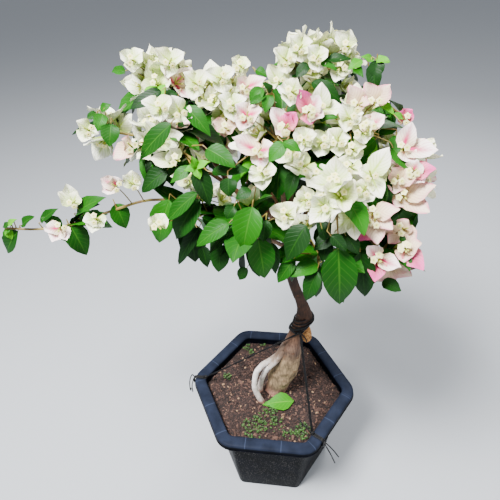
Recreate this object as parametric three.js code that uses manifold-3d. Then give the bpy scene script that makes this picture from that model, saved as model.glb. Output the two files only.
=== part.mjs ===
// A bougainvillea bonsai in a hexagonal plastic nursery pot. A leaning trunk stands on two arched
// surface roots and is tied down to the rim with black cord. Its boughs carry masses of heart-shaped
// leaves and of white blooms, each of three papery bracts.
// Millimetres, +Z up. The origin is in the middle of the pot's flat underside.

import * as THREE from 'three';
import { mergeVertices } from 'three/addons/utils/BufferGeometryUtils.js';
import Module from 'manifold-3d';

const wasm = await Module();
wasm.setup();

const CLEAR = 0.3;               // gap between neighbouring pieces

// Pot: corners are measured before they are rounded, insets go inwards from the rim's flat face
const POT_HEIGHT = 220;
const RIM_CORNER = 180;
const RIM_BAND = 25;
const RIM_SKIRT = 14;
const CORNER_ROUND = 40;
const SHARPEST_ROUND = 14;
const POT_WALL = 3;
const LIP = 4;                   // thickness of the rim at its edges
const WALL_INSET_TOP = RIM_BAND - POT_WALL;
const WALL_INSET_FOOT = 44;
const SOIL_TOP = 201;
const COS30 = Math.cos(Math.PI / 6);

// Trunk: middle of each level cut and its radius, from the foot to the fork
const TRUNK = [
  [8, 3, SOIL_TOP + CLEAR, 23.5], [12, 3, 219, 22], [17, 2, 240, 24], [24, 2, 266, 25.5],
  [29, 1, 290, 25], [33, 1, 312, 23], [38, 0, 336, 20], [42, 0, 358, 16.8],
  [46, 0, 382, 13.5], [50, 0, 398, 12.8], [57, 0, 411, 15], [61, 0, 424, 16.5],
  [61, 1, 437, 14], [58, 2, 452, 11], [52, 2, 470, 9.6], [40, 2, 503, 9], [32, 2, 545, 8.8],
  [27, 1, 590, 8.6], [24, 0, 630, 8.4], [23, 0, 648, 7],
];
const TRUNK_SIDES = 12;
const BARK_WAVES = [             // swellings round the trunk: depth, lobes, and climb in mm per radian
  { share: 0.06, lobes: 2, climb: 40 }, { share: 0.05, lobes: 3, climb: -25 },
];
const AXES = [0, 1, 2];

// Surface roots and the cut stub under the binding: middle line and radius
const BESIDE_TRUNK = {
  root_outer: [
    [26, -2, 350, 7], [13, -8, 324, 7.2], [-3, -14, 311, 6.8], [-18, -20, 303, 6.4],
    [-30, -27, 289, 6.2], [-35, -32, 265, 6.2], [-34, -35, 239, 6.4], [-28, -35, 218, 6.8],
    [-21, -33, 190, 7.6],
  ],
  root_inner: [
    [24, -8, 336, 6.6], [10, -17, 316, 6.4], [-4, -20, 299, 6.2], [-14, -18, 279, 6],
    [-21, -14, 254, 6], [-26, -9, 226, 6.4], [-28, -6, 190, 7],
  ],
  stub: [[61, 1, 403, 7], [65, 3, 392, 9], [67, 4, 378, 10], [68, 5, 366, 9.5], [68, 5, 359, 7.5]],
};
const ROOT_SIDES = 8;

// Ties: black cord wound round the trunk, a knot on its front, and two guys down to the rim. Each
// guy crosses the rim squarely at a facing from the pot's middle, moved along the rim by an offset.
const CORD_RADIUS = 1.2;
const CORD_SIDES = 5;
const BINDING_LOW = 405.5;
const BINDING_HIGH = 432;
const BINDING_TURNS = 3;
const BINDING_STEPS = 12;        // per turn
const BINDING_TILT = 5;          // the turns are this much higher on the right
const BINDING_LIFT = 2.3;        // from the bark to the middle of the cord
const KNOT = { z: 400, radius: 4.5, lift: 4.1, facing: -1.35 };
const GUYS = {
  guy_left: { facing: Math.PI, offset: 0, outer: 173.8 },
  guy_right: { facing: -Math.PI / 6, offset: -54, outer: RIM_CORNER * COS30 },
};

// Crown: each mass of foliage has its middle, its reach along x, y and z, the limb that its bough
// springs from and how far along it, how high the bough arches as a share of its length, how much
// of the mass blooms, and its number of sprays. A mass with hearts is drawn out along them.
const MASSES = [
  { name: 'left', at: [-150, -45, 795], reach: [72, 66, 66], from: 'trunk', along: 0.88,
    arch: 0.02, bloom: 0.62, sprays: 70, seed: 3 },
  { name: 'upper_left', at: [-178, 62, 838], reach: [70, 66, 64], from: 'left', along: 0.6,
    arch: 0.06, bloom: 0.8, sprays: 55, seed: 12 },
  { name: 'left_tip', at: [-246, -2, 790], reach: [60, 56, 50], from: 'upper_left', along: 0.5,
    arch: 0.04, bloom: 0.35, sprays: 36, seed: 18 },
  { name: 'lower_left', at: [-105, -95, 700], reach: [82, 76, 68], from: 'left', along: 0.38,
    arch: 0.1, bloom: 0.05, sprays: 60, seed: 25 },
  { name: 'side_shoot', at: [-205, -26, 683], reach: [62, 58, 56], from: 'left', along: 0.5,
    hearts: [[-205, -26, 683], [-268, -31, 662], [-330, -38, 641], [-392, -41, 631], [-452, -42, 631]],
    arch: 0, bloom: 0.4, sprays: 55, seed: 97 },
  { name: 'top_left', at: [-80, 40, 812], reach: [66, 68, 72], from: 'trunk', along: 0.95,
    arch: 0.04, bloom: 0.85, sprays: 60, seed: 28 },
  { name: 'middle', at: [14, -50, 800], reach: [72, 72, 78], from: 'trunk', along: 0.99,
    arch: 0, bloom: 0.6, sprays: 70, seed: 30 },
  { name: 'top_right', at: [62, 104, 850], reach: [84, 70, 70], from: 'trunk', along: 0.9,
    arch: 0.03, bloom: 0.75, sprays: 64, seed: 34 },
  { name: 'right', at: [182, -14, 735], reach: [66, 76, 78], from: 'trunk', along: 0.8,
    arch: 0.05, bloom: 0.8, sprays: 62, seed: 49 },
  { name: 'right_top', at: [112, -10, 800], reach: [70, 70, 66], from: 'right', along: 0.5,
    arch: 0.02, bloom: 0.85, sprays: 62, seed: 43 },
  { name: 'front_right', at: [98, -108, 752], reach: [68, 70, 66], from: 'trunk', along: 0.7,
    arch: 0.03, bloom: 0.8, sprays: 60, seed: 48 },
  { name: 'lower_right', at: [168, -84, 645], reach: [66, 62, 62], from: 'right', along: 0.6,
    arch: 0.12, bloom: 0.6, sprays: 60, seed: 65 },
  { name: 'lower_front', at: [78, -116, 655], reach: [78, 78, 68], from: 'front_right', along: 0.45,
    arch: 0.1, bloom: 0.08, sprays: 64, seed: 79 },
  { name: 'lower_middle', at: [-18, -122, 698], reach: [78, 74, 70], from: 'trunk', along: 0.55,
    arch: 0.05, bloom: 0.12, sprays: 76, seed: 69 },
  { name: 'right_shoot', at: [150, 62, 822], reach: [62, 62, 76], from: 'top_right', along: 0.55,
    arch: 0.04, bloom: 0.04, sprays: 50, seed: 69 },
  { name: 'back_left', at: [-118, 132, 742], reach: [80, 76, 76], from: 'trunk', along: 0.66,
    arch: 0.06, bloom: 0.5, sprays: 36, seed: 83 },
  { name: 'back', at: [-6, 172, 766], reach: [78, 70, 76], from: 'trunk', along: 0.76,
    arch: 0.05, bloom: 0.55, sprays: 44, seed: 81 },
  { name: 'back_right', at: [120, 124, 724], reach: [84, 78, 78], from: 'trunk', along: 0.58,
    arch: 0.06, bloom: 0.55, sprays: 44, seed: 93 },
  { name: 'lower_back', at: [8, 96, 650], reach: [92, 80, 62], from: 'back_right', along: 0.3,
    arch: 0.08, bloom: 0, sprays: 40, seed: 91 },
];
const LOWEST_FORK = 500;         // the height on the trunk at which along is 0
const BOUGH_ENTRY = 0.72;        // a bough ends this far out in its mass, as a share of the reach
const SHORTEST_BOUGH = 0.3;      // and spans at least this share of the way to the mass
const BOUGH_SIDES = 5;
const BOUGH_STEPS = 4;
const STEM_SIDES = 3;
const BOUGH_TIP = 2.6;
const BOUGH_TAPER = 0.012;       // growth of a bough's radius towards its foot, per mm of length
const STEM_RADIUS = 2.6;
const STEM_END = 2;
const STEM_LEAD = 8;             // a stem runs on straight from its bough to here
const STEM_SPAN = [0.04, 0.97];  // twigs leave each length of a stem between these shares of it
const TWIG_SETBACK = 0.2;        // and start this share of it behind the place nearest their tip
const TWIG_RADIUS = 1.2;
const TWIG_END = 1;

// Sprays, leaves and bracts
const GOLDEN_TURN = 2.399963;    // radians from each spray to the next
const BLOOM_LIFT = 0.4;          // how much more the top of a mass blooms than its underside
const BLOOM_DEPTH = 30;          // from a bloom's foot to the skin of its mass
const BLOOM_OPEN = [0.55, 0.95];  // angle of a bract from its bloom's axis, in radians
const BLOOM_SUNWARD = 0.45;      // how much a bloom turns up from its spray
const LEAF_DEPTH = 0.85;         // from a leaf's foot to the skin, as a share of its length
const LEAF_FOOT = 8;             // least length of a leaf's twig
const LEAF_SPREAD = [0.5, 1.1];  // angle of a leaf from its spray, in radians
const LEAF_DROOP = 0.45;
const LEAF_LENGTH = [54, 84];
const LEAF_WIDTH = 0.6;
const BRACT_LENGTH = [36, 45];
const BRACT_WIDTH = 0.76;
const BLOOM_FLOOR = 2.4;         // thickness of the middle of a bloom
const BLOOM_VALLEY = 6;          // from the middle to where two bracts part
const LEAF_STEP = 0.3;           // share of a twig between one leaf and the next
const DRAWS_PER_SPRAY = 10;
const PETIOLE = 7;               // stalk of a side leaf
const SPRAY_SHARES = [1, 0.85, 0.7, 0.5];  // depths at which a spray tries to fit
const WIDEST = 0.42;             // a blade is widest this far along
const BLADE_FOLD = 0.28;         // rise of a blade's edges, as a share of its half width
const BLADE_HANG = 0.1;          // fall of its tip, as a share of its length
const BLADE_THICK = 0.02;        // thickness as a share of the length
const LIMB_CLEAR = 2;            // blades and twigs keep this far from every limb
const SKIN_GAP = 0.5;            // and each mass this far from the next
const NEARBY = 1.2;              // limbs within this many reaches of a heart are kept clear of
const TWIG_TESTS = 8;            // steps at which a twig, a bloom's and a leaf's triangles are tested
const BLOOM_TESTS = 3;
const LEAF_TESTS = 6;
const EDGEWISE = 0.3;            // a leaf that hangs steeper than this faces along its spray
const FALLEN_LEAF = { tip: [-13, -48], base: [46, -34], half: 15, bulge: 0.75, thick: 1 };

const COLOURS = {
  pot: [0x2b2f3c, 0.5], soil: [0x6b4535, 0.95], bark: [0x8a6a45, 0.85], root: [0xd9cfc4, 0.7],
  stub: [0xc79a5e, 0.85], cord: [0x16161a, 0.5], bough: [0x6a4a2c, 0.8], leaves: [0x2f8a1e, 0.5],
  blooms: [0xf3f3dd, 0.6], lime: [0x7ed321, 0.5],
};

const vec = (p) => new THREE.Vector3(p[0], p[1], p[2]);
const lerp = (a, b, t) => a + (b - a) * t;

// The same run of numbers from 0 to 1 for the same seed
function dice(seed) {
  let state = seed * 7919 + 104729;
  const roll = () => {
    state = (state * 16807) % 2147483647;
    return state / 2147483647;
  };
  roll();
  return roll;
}

// A closed skin over a row of rings of points. Its first ring has a flat cap, and its last ring has
// one too or runs out to an apex.
function loft(rings, apex = null) {
  const count = rings[0].length;
  const points = rings.flat();
  const faces = [];
  for (let ring = 0; ring < rings.length - 1; ring++) {
    for (let side = 0; side < count; side++) {
      const a = ring * count + side;
      const b = ring * count + (side + 1) % count;
      faces.push(a, b, b + count, a, b + count, a + count);
    }
  }
  const last = points.length - count;
  for (let side = 1; side < count - 1; side++) faces.push(0, side + 1, side);
  if (apex === null) {
    for (let side = 1; side < count - 1; side++) faces.push(last, last + side, last + side + 1);
  } else {
    for (let side = 0; side < count; side++) {
      faces.push(last + side, last + (side + 1) % count, points.length);
    }
    points.push(apex);
  }
  return closedGeometry(points.flatMap((p) => p.toArray()), faces);
}

function closedGeometry(positions, faces) {
  const geometry = new THREE.BufferGeometry();
  geometry.setAttribute('position', new THREE.Float32BufferAttribute(positions, 3));
  geometry.setIndex(faces);
  return geometry;
}

function toSolid(geometry) {
  const bare = geometry.clone();
  bare.deleteAttribute('normal');
  bare.deleteAttribute('uv');
  const merged = mergeVertices(bare);
  return new wasm.Manifold(new wasm.Mesh({
    numProp: 3,
    vertProperties: new Float32Array(merged.getAttribute('position').array),
    triVerts: new Uint32Array(merged.getIndex().array),
  }));
}

// The largest closed body of a solid: sealed hollows and loose scraps are left behind
function toGeometry(solid) {
  const whole = solid.decompose().reduce((a, b) => (b.volume() > a.volume() ? b : a));
  const mesh = whole.getMesh();
  return closedGeometry(Array.from(mesh.vertProperties), Array.from(mesh.triVerts));
}

const join = (solids) => solids.reduce((sum, solid) => sum.add(solid));

// Rings square to a middle line of stations [x, y, z, radius], turned as little as possible
function tubeRings(stations, sides, extra = 0) {
  const points = stations.map(vec);
  let across = null;
  return points.map((point, i) => {
    const before = points[Math.max(i - 1, 0)];
    const after = points[Math.min(i + 1, points.length - 1)];
    const along = after.clone().sub(before).normalize();
    if (across === null) {
      across = new THREE.Vector3(0, 0, 1);
      if (Math.abs(along.z) > 0.9) across.set(1, 0, 0);
    }
    across.addScaledVector(along, -across.dot(along)).normalize();
    const other = along.clone().cross(across);
    const radius = stations[i][3] + extra;
    return Array.from({ length: sides }, (_, side) => {
      const turn = side / sides * 2 * Math.PI;
      return point.clone()
        .addScaledVector(across, radius * Math.cos(turn))
        .addScaledVector(other, radius * Math.sin(turn));
    });
  });
}

const tube = (stations, sides, extra = 0) => toSolid(loft(tubeRings(stations, sides, extra)));

// Pot and soil

// One level outline of the pot, inset from the rim's flat faces
function hexRing(inset, z) {
  const round = Math.max(CORNER_ROUND - inset, SHARPEST_ROUND);
  const centre = RIM_CORNER - (inset + round) / COS30;
  const ring = [];
  for (let corner = 0; corner < 6; corner++) {
    const facing = corner * Math.PI / 3;
    for (let step = -2; step <= 2; step++) {
      const turn = facing + step * Math.PI / 12;
      ring.push(new THREE.Vector3(
        centre * Math.cos(facing) + round * Math.cos(turn),
        centre * Math.sin(facing) + round * Math.sin(turn), z));
    }
  }
  return ring;
}

const wallInset = (z) => lerp(WALL_INSET_FOOT, WALL_INSET_TOP, z / POT_HEIGHT);

function potGeometry() {
  const skirtFoot = POT_HEIGHT - RIM_SKIRT;
  const underLip = POT_HEIGHT - LIP;
  const profile = [
    [wallInset(0) + 2, 0], [wallInset(3), 3], [wallInset(underLip), underLip],
    [2.6, underLip], [2.6, skirtFoot], [-0.6, skirtFoot], [-1, skirtFoot + 1.5],
    [0, skirtFoot + 3], [0.6, underLip], [3.5, POT_HEIGHT - 0.8], [RIM_BAND / 2, POT_HEIGHT],
    [RIM_BAND - 3, POT_HEIGHT - 0.8], [RIM_BAND, underLip],
    [wallInset(underLip - LIP) + POT_WALL, underLip - LIP], [wallInset(POT_WALL) + POT_WALL, POT_WALL],
  ];
  return loft(profile.map(([inset, z]) => hexRing(inset, z)));
}

function soilGeometry() {
  const inset = (z) => wallInset(z) + POT_WALL + CLEAR;
  const foot = POT_WALL + CLEAR;
  return loft([hexRing(inset(foot) + CLEAR, foot), hexRing(inset(SOIL_TOP), SOIL_TOP)]);
}

// Trunk, surface roots and stub

// The bark swells and sinks round each level cut
function barkRadius(radius, turn, z) {
  return BARK_WAVES.reduce((sum, { share, lobes, climb }) => (
    sum + radius * share * Math.cos(lobes * turn + z / climb)), radius);
}

function trunkRings(extra) {
  return TRUNK.map(([x, y, z, radius]) => Array.from({ length: TRUNK_SIDES }, (_, side) => {
    const turn = side / TRUNK_SIDES * 2 * Math.PI;
    const r = barkRadius(radius, turn, z) + extra;
    return new THREE.Vector3(x + r * Math.cos(turn), y + r * Math.sin(turn), z);
  }));
}

// Middle and radius of the trunk at a height
function trunkAt(z) {
  const above = TRUNK.findIndex((station) => station[2] >= z);
  const [low, high] = [TRUNK[above - 1], TRUNK[above]];
  return low.map((value, i) => lerp(value, high[i], (z - low[2]) / (high[2] - low[2])));
}

// A point off the bark, square to the trunk's middle line as seen from above
function offBark(turn, z, lift) {
  const [x, y, , radius] = trunkAt(z);
  const out = barkRadius(radius, turn, z) + lift;
  return [x + out * Math.cos(turn), y + out * Math.sin(turn), z];
}

// Limbs of the crown: each is a list of stations [x, y, z, radius]

const limbs = { trunk: TRUNK };

// A point part of the way along a limb, with the radius there
function limbAt(name, along) {
  if (name === 'trunk') return trunkAt(lerp(LOWEST_FORK, TRUNK.at(-1)[2], along));
  const stations = limbs[name];
  const place = along * (stations.length - 1);
  const i = Math.min(Math.floor(place), stations.length - 2);
  return stations[i].map((value, axis) => lerp(value, stations[i + 1][axis], place - i));
}

// A bough leaves its parent in one arch and ends where it enters its mass
function boughStations(mass) {
  const foot = limbAt(mass.from, mass.along);
  const depth = Math.hypot(...AXES.map((axis) => (foot[axis] - mass.at[axis]) / mass.reach[axis]));
  const share = Math.max(1 - BOUGH_ENTRY / depth, SHORTEST_BOUGH);
  const tip = AXES.map((axis) => lerp(foot[axis], mass.at[axis], share));
  const length = vec(foot).distanceTo(vec(tip));
  const bend = AXES.map((axis) => (foot[axis] + tip[axis]) / 2);
  bend[2] += length * mass.arch;
  return Array.from({ length: BOUGH_STEPS + 1 }, (_, step) => {
    const t = step / BOUGH_STEPS;
    const point = AXES.map((axis) => (
      (1 - t) ** 2 * foot[axis] + 2 * t * (1 - t) * bend[axis] + t ** 2 * tip[axis]));
    return [...point, BOUGH_TIP + (1 - t) * length * BOUGH_TAPER];
  });
}

// The stem of a mass takes over just past its bough's tip and runs in through its hearts
function stemStations(mass) {
  const [before, tip] = limbs[mass.name].slice(-2).map(vec);
  const along = tip.clone().sub(before).normalize();
  const starts = [CLEAR, STEM_LEAD].map((step) => tip.clone().addScaledVector(along, step).toArray());
  const points = [...starts, ...(mass.hearts ?? [mass.at])];
  return points.map((point, i) => [...point, lerp(STEM_RADIUS, STEM_END, i / (points.length - 1))]);
}

// The space of a mass is its ellipsoid, cut by a plane between it and each mass beside it, and kept
// clear of every limb that passes through it.

const meanReach = (mass) => Math.cbrt(mass.reach[0] * mass.reach[1] * mass.reach[2]);
const nearest = (hearts, point) => Math.min(...hearts.map((heart) => heart.distanceTo(point)));

function spaceOf(mass) {
  const hearts = (mass.hearts ?? [mass.at]).map(vec);
  const rivals = MASSES.filter((other) => other !== mass).map((other) => {
    const theirs = (other.hearts ?? [other.at]).map(vec);
    const apart = Math.min(...theirs.map((heart) => nearest(hearts, heart)));
    return { hearts: theirs, size: meanReach(other), apart };
  });
  const widest = Math.max(...mass.reach);
  const segments = [];
  for (const [name, stations] of Object.entries(limbs)) {
    if (name === mass.name + ' stem') continue;
    for (let i = 0; i < stations.length - 1; i++) {
      const line = new THREE.Line3(vec(stations[i]), vec(stations[i + 1]));
      const near = hearts.some((heart) => (
        line.closestPointToPoint(heart, true, new THREE.Vector3()).distanceTo(heart) < NEARBY * widest));
      if (near) segments.push({ line, keep: Math.max(stations[i][3], stations[i + 1][3]) + LIMB_CLEAR });
    }
  }
  return { mass, hearts, rivals, segments, size: meanReach(mass), stem: limbs[mass.name + ' stem'] };
}

function inSpace({ mass, hearts, rivals, size }, point) {
  const inside = hearts.some((heart) => (
    Math.hypot(...AXES.map((axis) => (
      (point.getComponent(axis) - heart.getComponent(axis)) / mass.reach[axis]))) <= 1));
  const own = nearest(hearts, point) ** 2 - size ** 2;
  return inside && rivals.every((rival) => (
    own + 2 * SKIN_GAP * rival.apart < nearest(rival.hearts, point) ** 2 - rival.size ** 2));
}

const closest = new THREE.Vector3();

function clearOfLimbs({ segments }, points) {
  return segments.every(({ line, keep }) => points.every((point) => (
    line.closestPointToPoint(point, true, closest).distanceTo(point) > keep)));
}

// A blade is a leaf or a bloom in one piece with its stalk: its solid, and its sheet as triangles
// with the edges of its rim, by which it is kept from crossing another.

// Three corners round a stalk, so that the stalk runs on without a turn into what it carries
const stalkRing = (at, sides, radius) => sides.map((side) => at.clone().addScaledVector(side, radius));

function squaredTo(way, side) {
  return side.clone().addScaledVector(way, -side.dot(way)).normalize();
}

// A leaf is a flat kite with a keel under its midrib
function leaf(foot, root, out, face, length) {
  const side = face.clone().cross(out);
  const middle = root.clone().addScaledVector(out, length * WIDEST);
  const half = length * LEAF_WIDTH / 2;
  const left = middle.clone().addScaledVector(side, half).addScaledVector(face, half * BLADE_FOLD);
  const right = middle.clone().addScaledVector(side, -half).addScaledVector(face, half * BLADE_FOLD);
  const keel = middle.clone().addScaledVector(face, -length * BLADE_THICK);
  const tip = root.clone().addScaledVector(out, length).addScaledVector(face, -length * BLADE_HANG);
  const sides = [side, side.clone().negate(), face.clone().negate()];
  const stalk = root.clone().sub(foot).normalize();
  const footSides = sides.map((way) => squaredTo(stalk, way));
  const rings = [
    stalkRing(foot, footSides, TWIG_END), stalkRing(root, sides, TWIG_END), [left, right, keel]];
  return {
    geometry: loft(rings, tip),
    corners: [root, left, tip, right],
    sheet: [[0, 1, 3], [1, 2, 3]],
    rim: [[0, 1], [1, 2], [2, 3], [3, 0], [0, 2]],
  };
}

// A bloom is a cup of three bracts. Round its rim each bract has its right edge, its tip, its left
// edge and the valley before the next one, and the cup's underside runs down into the twig.
const BLOOM_RIM = Array.from({ length: 12 }, (_, i) => [1 + i, 1 + (i + 1) % 12]);

function bloom(foot, tip, way, draws) {
  const axis = way.clone().add(new THREE.Vector3(0, 0, BLOOM_SUNWARD)).normalize();
  const open = lerp(...BLOOM_OPEN, draws[1]);
  const length = lerp(...BRACT_LENGTH, draws[2]);
  const turn = draws[3] * Math.PI * 2 / 3;
  const half = length * BRACT_WIDTH / 2;
  const floor = tip.clone().addScaledVector(axis, BLOOM_FLOOR);
  const rim = [];
  const valleys = [];
  for (let bract = 0; bract < 3; bract++) {
    const facing = turn + bract * Math.PI * 2 / 3;
    const { out, face } = fanned(axis, open, facing);
    const side = face.clone().cross(out);
    const edge = (sign) => tip.clone().addScaledVector(out, length * WIDEST)
      .addScaledVector(side, sign * half).addScaledVector(face, half * BLADE_FOLD);
    const end = tip.clone().addScaledVector(out, length).addScaledVector(face, -length * BLADE_HANG);
    const valley = fanned(axis, open, facing + Math.PI / 3).out;
    rim.push(edge(-1), end, edge(1), tip.clone().addScaledVector(valley, BLOOM_VALLEY));
    valleys.push(squaredTo(axis, valley));
  }
  const twig = tip.clone().sub(foot).normalize();
  const points = [floor, ...rim, ...stalkRing(tip, valleys, TWIG_END),
    ...stalkRing(foot, valleys.map((side) => squaredTo(twig, side)), TWIG_RADIUS)];
  const [top, bottom] = [13, 16];
  const faces = BLOOM_RIM.flatMap(([from, to]) => [0, from, to]);
  for (let bract = 0; bract < 3; bract++) {
    const before = (bract + 2) % 3;
    const [right, end, left, valley] = [1, 2, 3, 4].map((i) => i + 4 * bract);
    const valleyBefore = 4 + 4 * before;
    const [a, b] = [top + before, top + bract];
    faces.push(a, right, valleyBefore, a, end, right, a, b, end, b, left, end, b, valley, left);
    faces.push(bottom + before, bottom + bract, b, bottom + before, b, a);
  }
  faces.push(bottom, bottom + 2, bottom + 1);
  return {
    geometry: closedGeometry(points.flatMap((p) => p.toArray()), faces),
    corners: [floor, ...rim],
    sheet: BLOOM_RIM.map(([from, to]) => [0, from, to]),
    rim: BLOOM_RIM,
  };
}

// Two directions square to a third and to each other, the first as level as it can be
function crossways(way) {
  const level = new THREE.Vector3(-way.y, way.x, 0);
  if (level.length() < 0.01) level.set(1, 0, 0);
  level.normalize();
  return [level, way.clone().cross(level)];
}

// A direction tipped away from an axis towards one side of it, with the face that looks back at it
function fanned(axis, spread, turn) {
  const [level, other] = crossways(axis);
  const side = level.multiplyScalar(Math.cos(turn)).addScaledVector(other, Math.sin(turn));
  const out = axis.clone().multiplyScalar(Math.cos(spread)).addScaledVector(side, Math.sin(spread));
  const face = axis.clone().multiplyScalar(Math.sin(spread)).addScaledVector(side, -Math.cos(spread));
  return { out, face };
}

// Points spread over a blade's sheet, by which it is kept clear of the limbs
function sheetPoints({ corners, sheet }) {
  const steps = sheet.length > 2 ? BLOOM_TESTS : LEAF_TESTS;
  const points = [];
  for (const [a, b, c] of sheet) {
    for (let i = 0; i <= steps; i++) {
      for (let j = 0; i + j <= steps; j++) {
        const point = corners[a].clone().multiplyScalar((steps - i - j) / steps);
        point.addScaledVector(corners[b], i / steps).addScaledVector(corners[c], j / steps);
        points.push(point);
      }
    }
  }
  return points;
}

function bladeFits(space, blade) {
  return blade.corners.every((corner) => inSpace(space, corner))
    && clearOfLimbs(space, sheetPoints(blade));
}

function twigFits(space, foot, tip) {
  const points = Array.from({ length: TWIG_TESTS + 1 }, (_, i) => foot.clone().lerp(tip, i / TWIG_TESTS));
  return points.every((point) => inSpace(space, point)) && clearOfLimbs(space, points);
}

// True where the rim of one blade passes through the sheet of another
function cuts(one, other) {
  const ray = new THREE.Ray();
  const hit = new THREE.Vector3();
  return one.rim.some(([i, j]) => {
    const length = one.corners[i].distanceTo(one.corners[j]);
    ray.origin.copy(one.corners[i]);
    ray.direction.copy(one.corners[j]).sub(one.corners[i]).normalize();
    return other.sheet.some(([a, b, c]) => (
      ray.intersectTriangle(other.corners[a], other.corners[b], other.corners[c], false, hit) !== null
      && hit.distanceTo(one.corners[i]) <= length));
  });
}

const crossing = (one, other) => cuts(one, other) || cuts(other, one);

// Leaves set in turn along a twig, the first at its tip: they droop and turn their faces skyward
function leavesAlong(foot, tip, way, draws, lengths) {
  return [0, 1, 2].map((place) => {
    const spread = place === 0 ? LEAF_SPREAD[0] * draws[1] : lerp(...LEAF_SPREAD, draws[1 + place]);
    const { out } = fanned(way, spread, draws[4] * Math.PI * 2 + place * Math.PI);
    out.z -= LEAF_DROOP;
    out.normalize();
    const face = new THREE.Vector3(0, 0, 1).addScaledVector(out, -out.z);
    if (face.length() < EDGEWISE) face.add(way).addScaledVector(out, -out.dot(way));
    face.normalize();
    const node = tip.clone().lerp(foot, place * LEAF_STEP);
    const root = node.clone().addScaledVector(out, place === 0 ? 0 : PETIOLE);
    return leaf(place === 0 ? foot : node, root, out, face, lengths[place]);
  });
}

// The place on a stem from which a twig to the given tip grows: the nearest, moved back a little
function stemFoot(stem, tip) {
  let best = null;
  for (let i = 1; i < stem.length - 1; i++) {
    const line = new THREE.Line3(vec(stem[i]), vec(stem[i + 1]));
    const beside = line.closestPointToPointParameter(tip, true) - TWIG_SETBACK;
    const t = THREE.MathUtils.clamp(beside, ...STEM_SPAN);
    const foot = line.at(t, new THREE.Vector3());
    if (best === null || foot.distanceTo(tip) < best.distanceTo(tip)) best = foot;
  }
  return best;
}

// One spray: its way out from a heart, its twig, and those of its blades that fit among the others
function growSpray(space, index, draws, others) {
  const { mass, hearts, stem } = space;
  const heart = hearts[index % hearts.length];
  const up = 1 - 2 * (index + 0.5) / mass.sprays;
  const turn = index * GOLDEN_TURN + mass.seed;
  const flat = Math.sqrt(1 - up * up);
  const way = new THREE.Vector3(flat * Math.cos(turn), flat * Math.sin(turn), up);
  const reach = 1 / Math.hypot(...AXES.map((axis) => way.getComponent(axis) / mass.reach[axis]));
  const blooms = draws[0] < mass.bloom + BLOOM_LIFT * up;
  const lengths = draws.slice(5, 8).map((draw) => lerp(...LEAF_LENGTH, draw));
  for (const share of SPRAY_SHARES) {
    const depth = blooms ? BLOOM_DEPTH : lengths[0] * LEAF_DEPTH;
    const tip = heart.clone().addScaledVector(way, share * Math.max(reach - depth, LEAF_FOOT));
    const foot = stemFoot(stem, tip);
    if (!twigFits(space, foot, tip)) continue;
    const blades = blooms ? [bloom(foot, tip, way, draws)] : leavesAlong(foot, tip, way, draws, lengths);
    const fits = (blade) => bladeFits(space, blade) && others.every((other) => !crossing(blade, other));
    if (fits(blades[0])) return [blades[0], ...blades.slice(1).filter(fits)];
  }
  return [];
}

function growMass(mass) {
  const roll = dice(mass.seed);
  const space = spaceOf(mass);
  const blades = [];
  for (let index = 0; index < mass.sprays; index++) {
    const draws = Array.from({ length: DRAWS_PER_SPRAY }, roll);
    blades.push(...growSpray(space, index, draws, blades));
  }
  return blades;
}

function massGeometry(mass) {
  const stem = tube(limbs[mass.name + ' stem'], STEM_SIDES);
  return toGeometry(join([stem, ...growMass(mass).map((blade) => toSolid(blade.geometry))]));
}

// Ties

// The binding winds up the trunk, each turn lying on the bark
function bindingStations() {
  const steps = BINDING_TURNS * BINDING_STEPS;
  return Array.from({ length: steps + 1 }, (_, step) => {
    const turn = KNOT.facing + step / BINDING_STEPS * 2 * Math.PI;
    const z = lerp(BINDING_LOW, BINDING_HIGH, step / steps) + BINDING_TILT * Math.cos(turn);
    return [...offBark(turn, z, BINDING_LIFT), CORD_RADIUS];
  });
}

const knotAt = offBark(KNOT.facing, KNOT.z, KNOT.lift);

// A guy runs taut from the knot to the rim, over it, down its skirt and up under the lip
function guyStations({ facing, offset, outer }) {
  const place = (inset, z) => {
    const out = outer - inset;
    return [out * Math.cos(facing) - offset * Math.sin(facing),
      out * Math.sin(facing) + offset * Math.cos(facing), z];
  };
  const lift = CORD_RADIUS + CLEAR;
  const skirtFoot = POT_HEIGHT - RIM_SKIRT;
  const route = [
    place(RIM_BAND - 1, POT_HEIGHT + lift), place(RIM_BAND / 2, POT_HEIGHT + lift),
    place(2, POT_HEIGHT + lift), place(-lift - 1, POT_HEIGHT - 2), place(-lift - 1.5, skirtFoot),
    place(-0.5, skirtFoot - lift - 0.5), place(5, skirtFoot - lift), place(6, skirtFoot + 5),
  ];
  const start = vec(knotAt);
  start.lerp(vec(route[0]), (KNOT.radius + lift) / start.distanceTo(vec(route[0])));
  return [start.toArray(), ...route].map((point) => [...point, CORD_RADIUS]);
}

// A leaf that has dropped on the soil: an outline of two curves, one leaf thick
function fallenLeafGeometry() {
  const { tip, base, half, bulge, thick } = FALLEN_LEAF;
  const [dx, dy] = [base[0] - tip[0], base[1] - tip[1]];
  const length = Math.hypot(dx, dy);
  const outline = new THREE.Shape();
  outline.moveTo(0, 0);
  outline.quadraticCurveTo(length * bulge, half * 2, length, 0);
  outline.quadraticCurveTo(length * bulge, -half * 2, 0, 0);
  const leafSheet = new THREE.ExtrudeGeometry(outline, {
    depth: thick, bevelEnabled: false, curveSegments: 5,
  });
  leafSheet.rotateZ(Math.atan2(dy, dx));
  leafSheet.translate(tip[0], tip[1], SOIL_TOP + CLEAR);
  return leafSheet;
}

// Assembly

const plant = new THREE.Group();

function add(name, geometry, [colour, roughness]) {
  const material = new THREE.MeshStandardMaterial({ color: colour, roughness, metalness: 0 });
  const mesh = new THREE.Mesh(geometry, material);
  mesh.name = name;
  plant.add(mesh);
}

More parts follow.
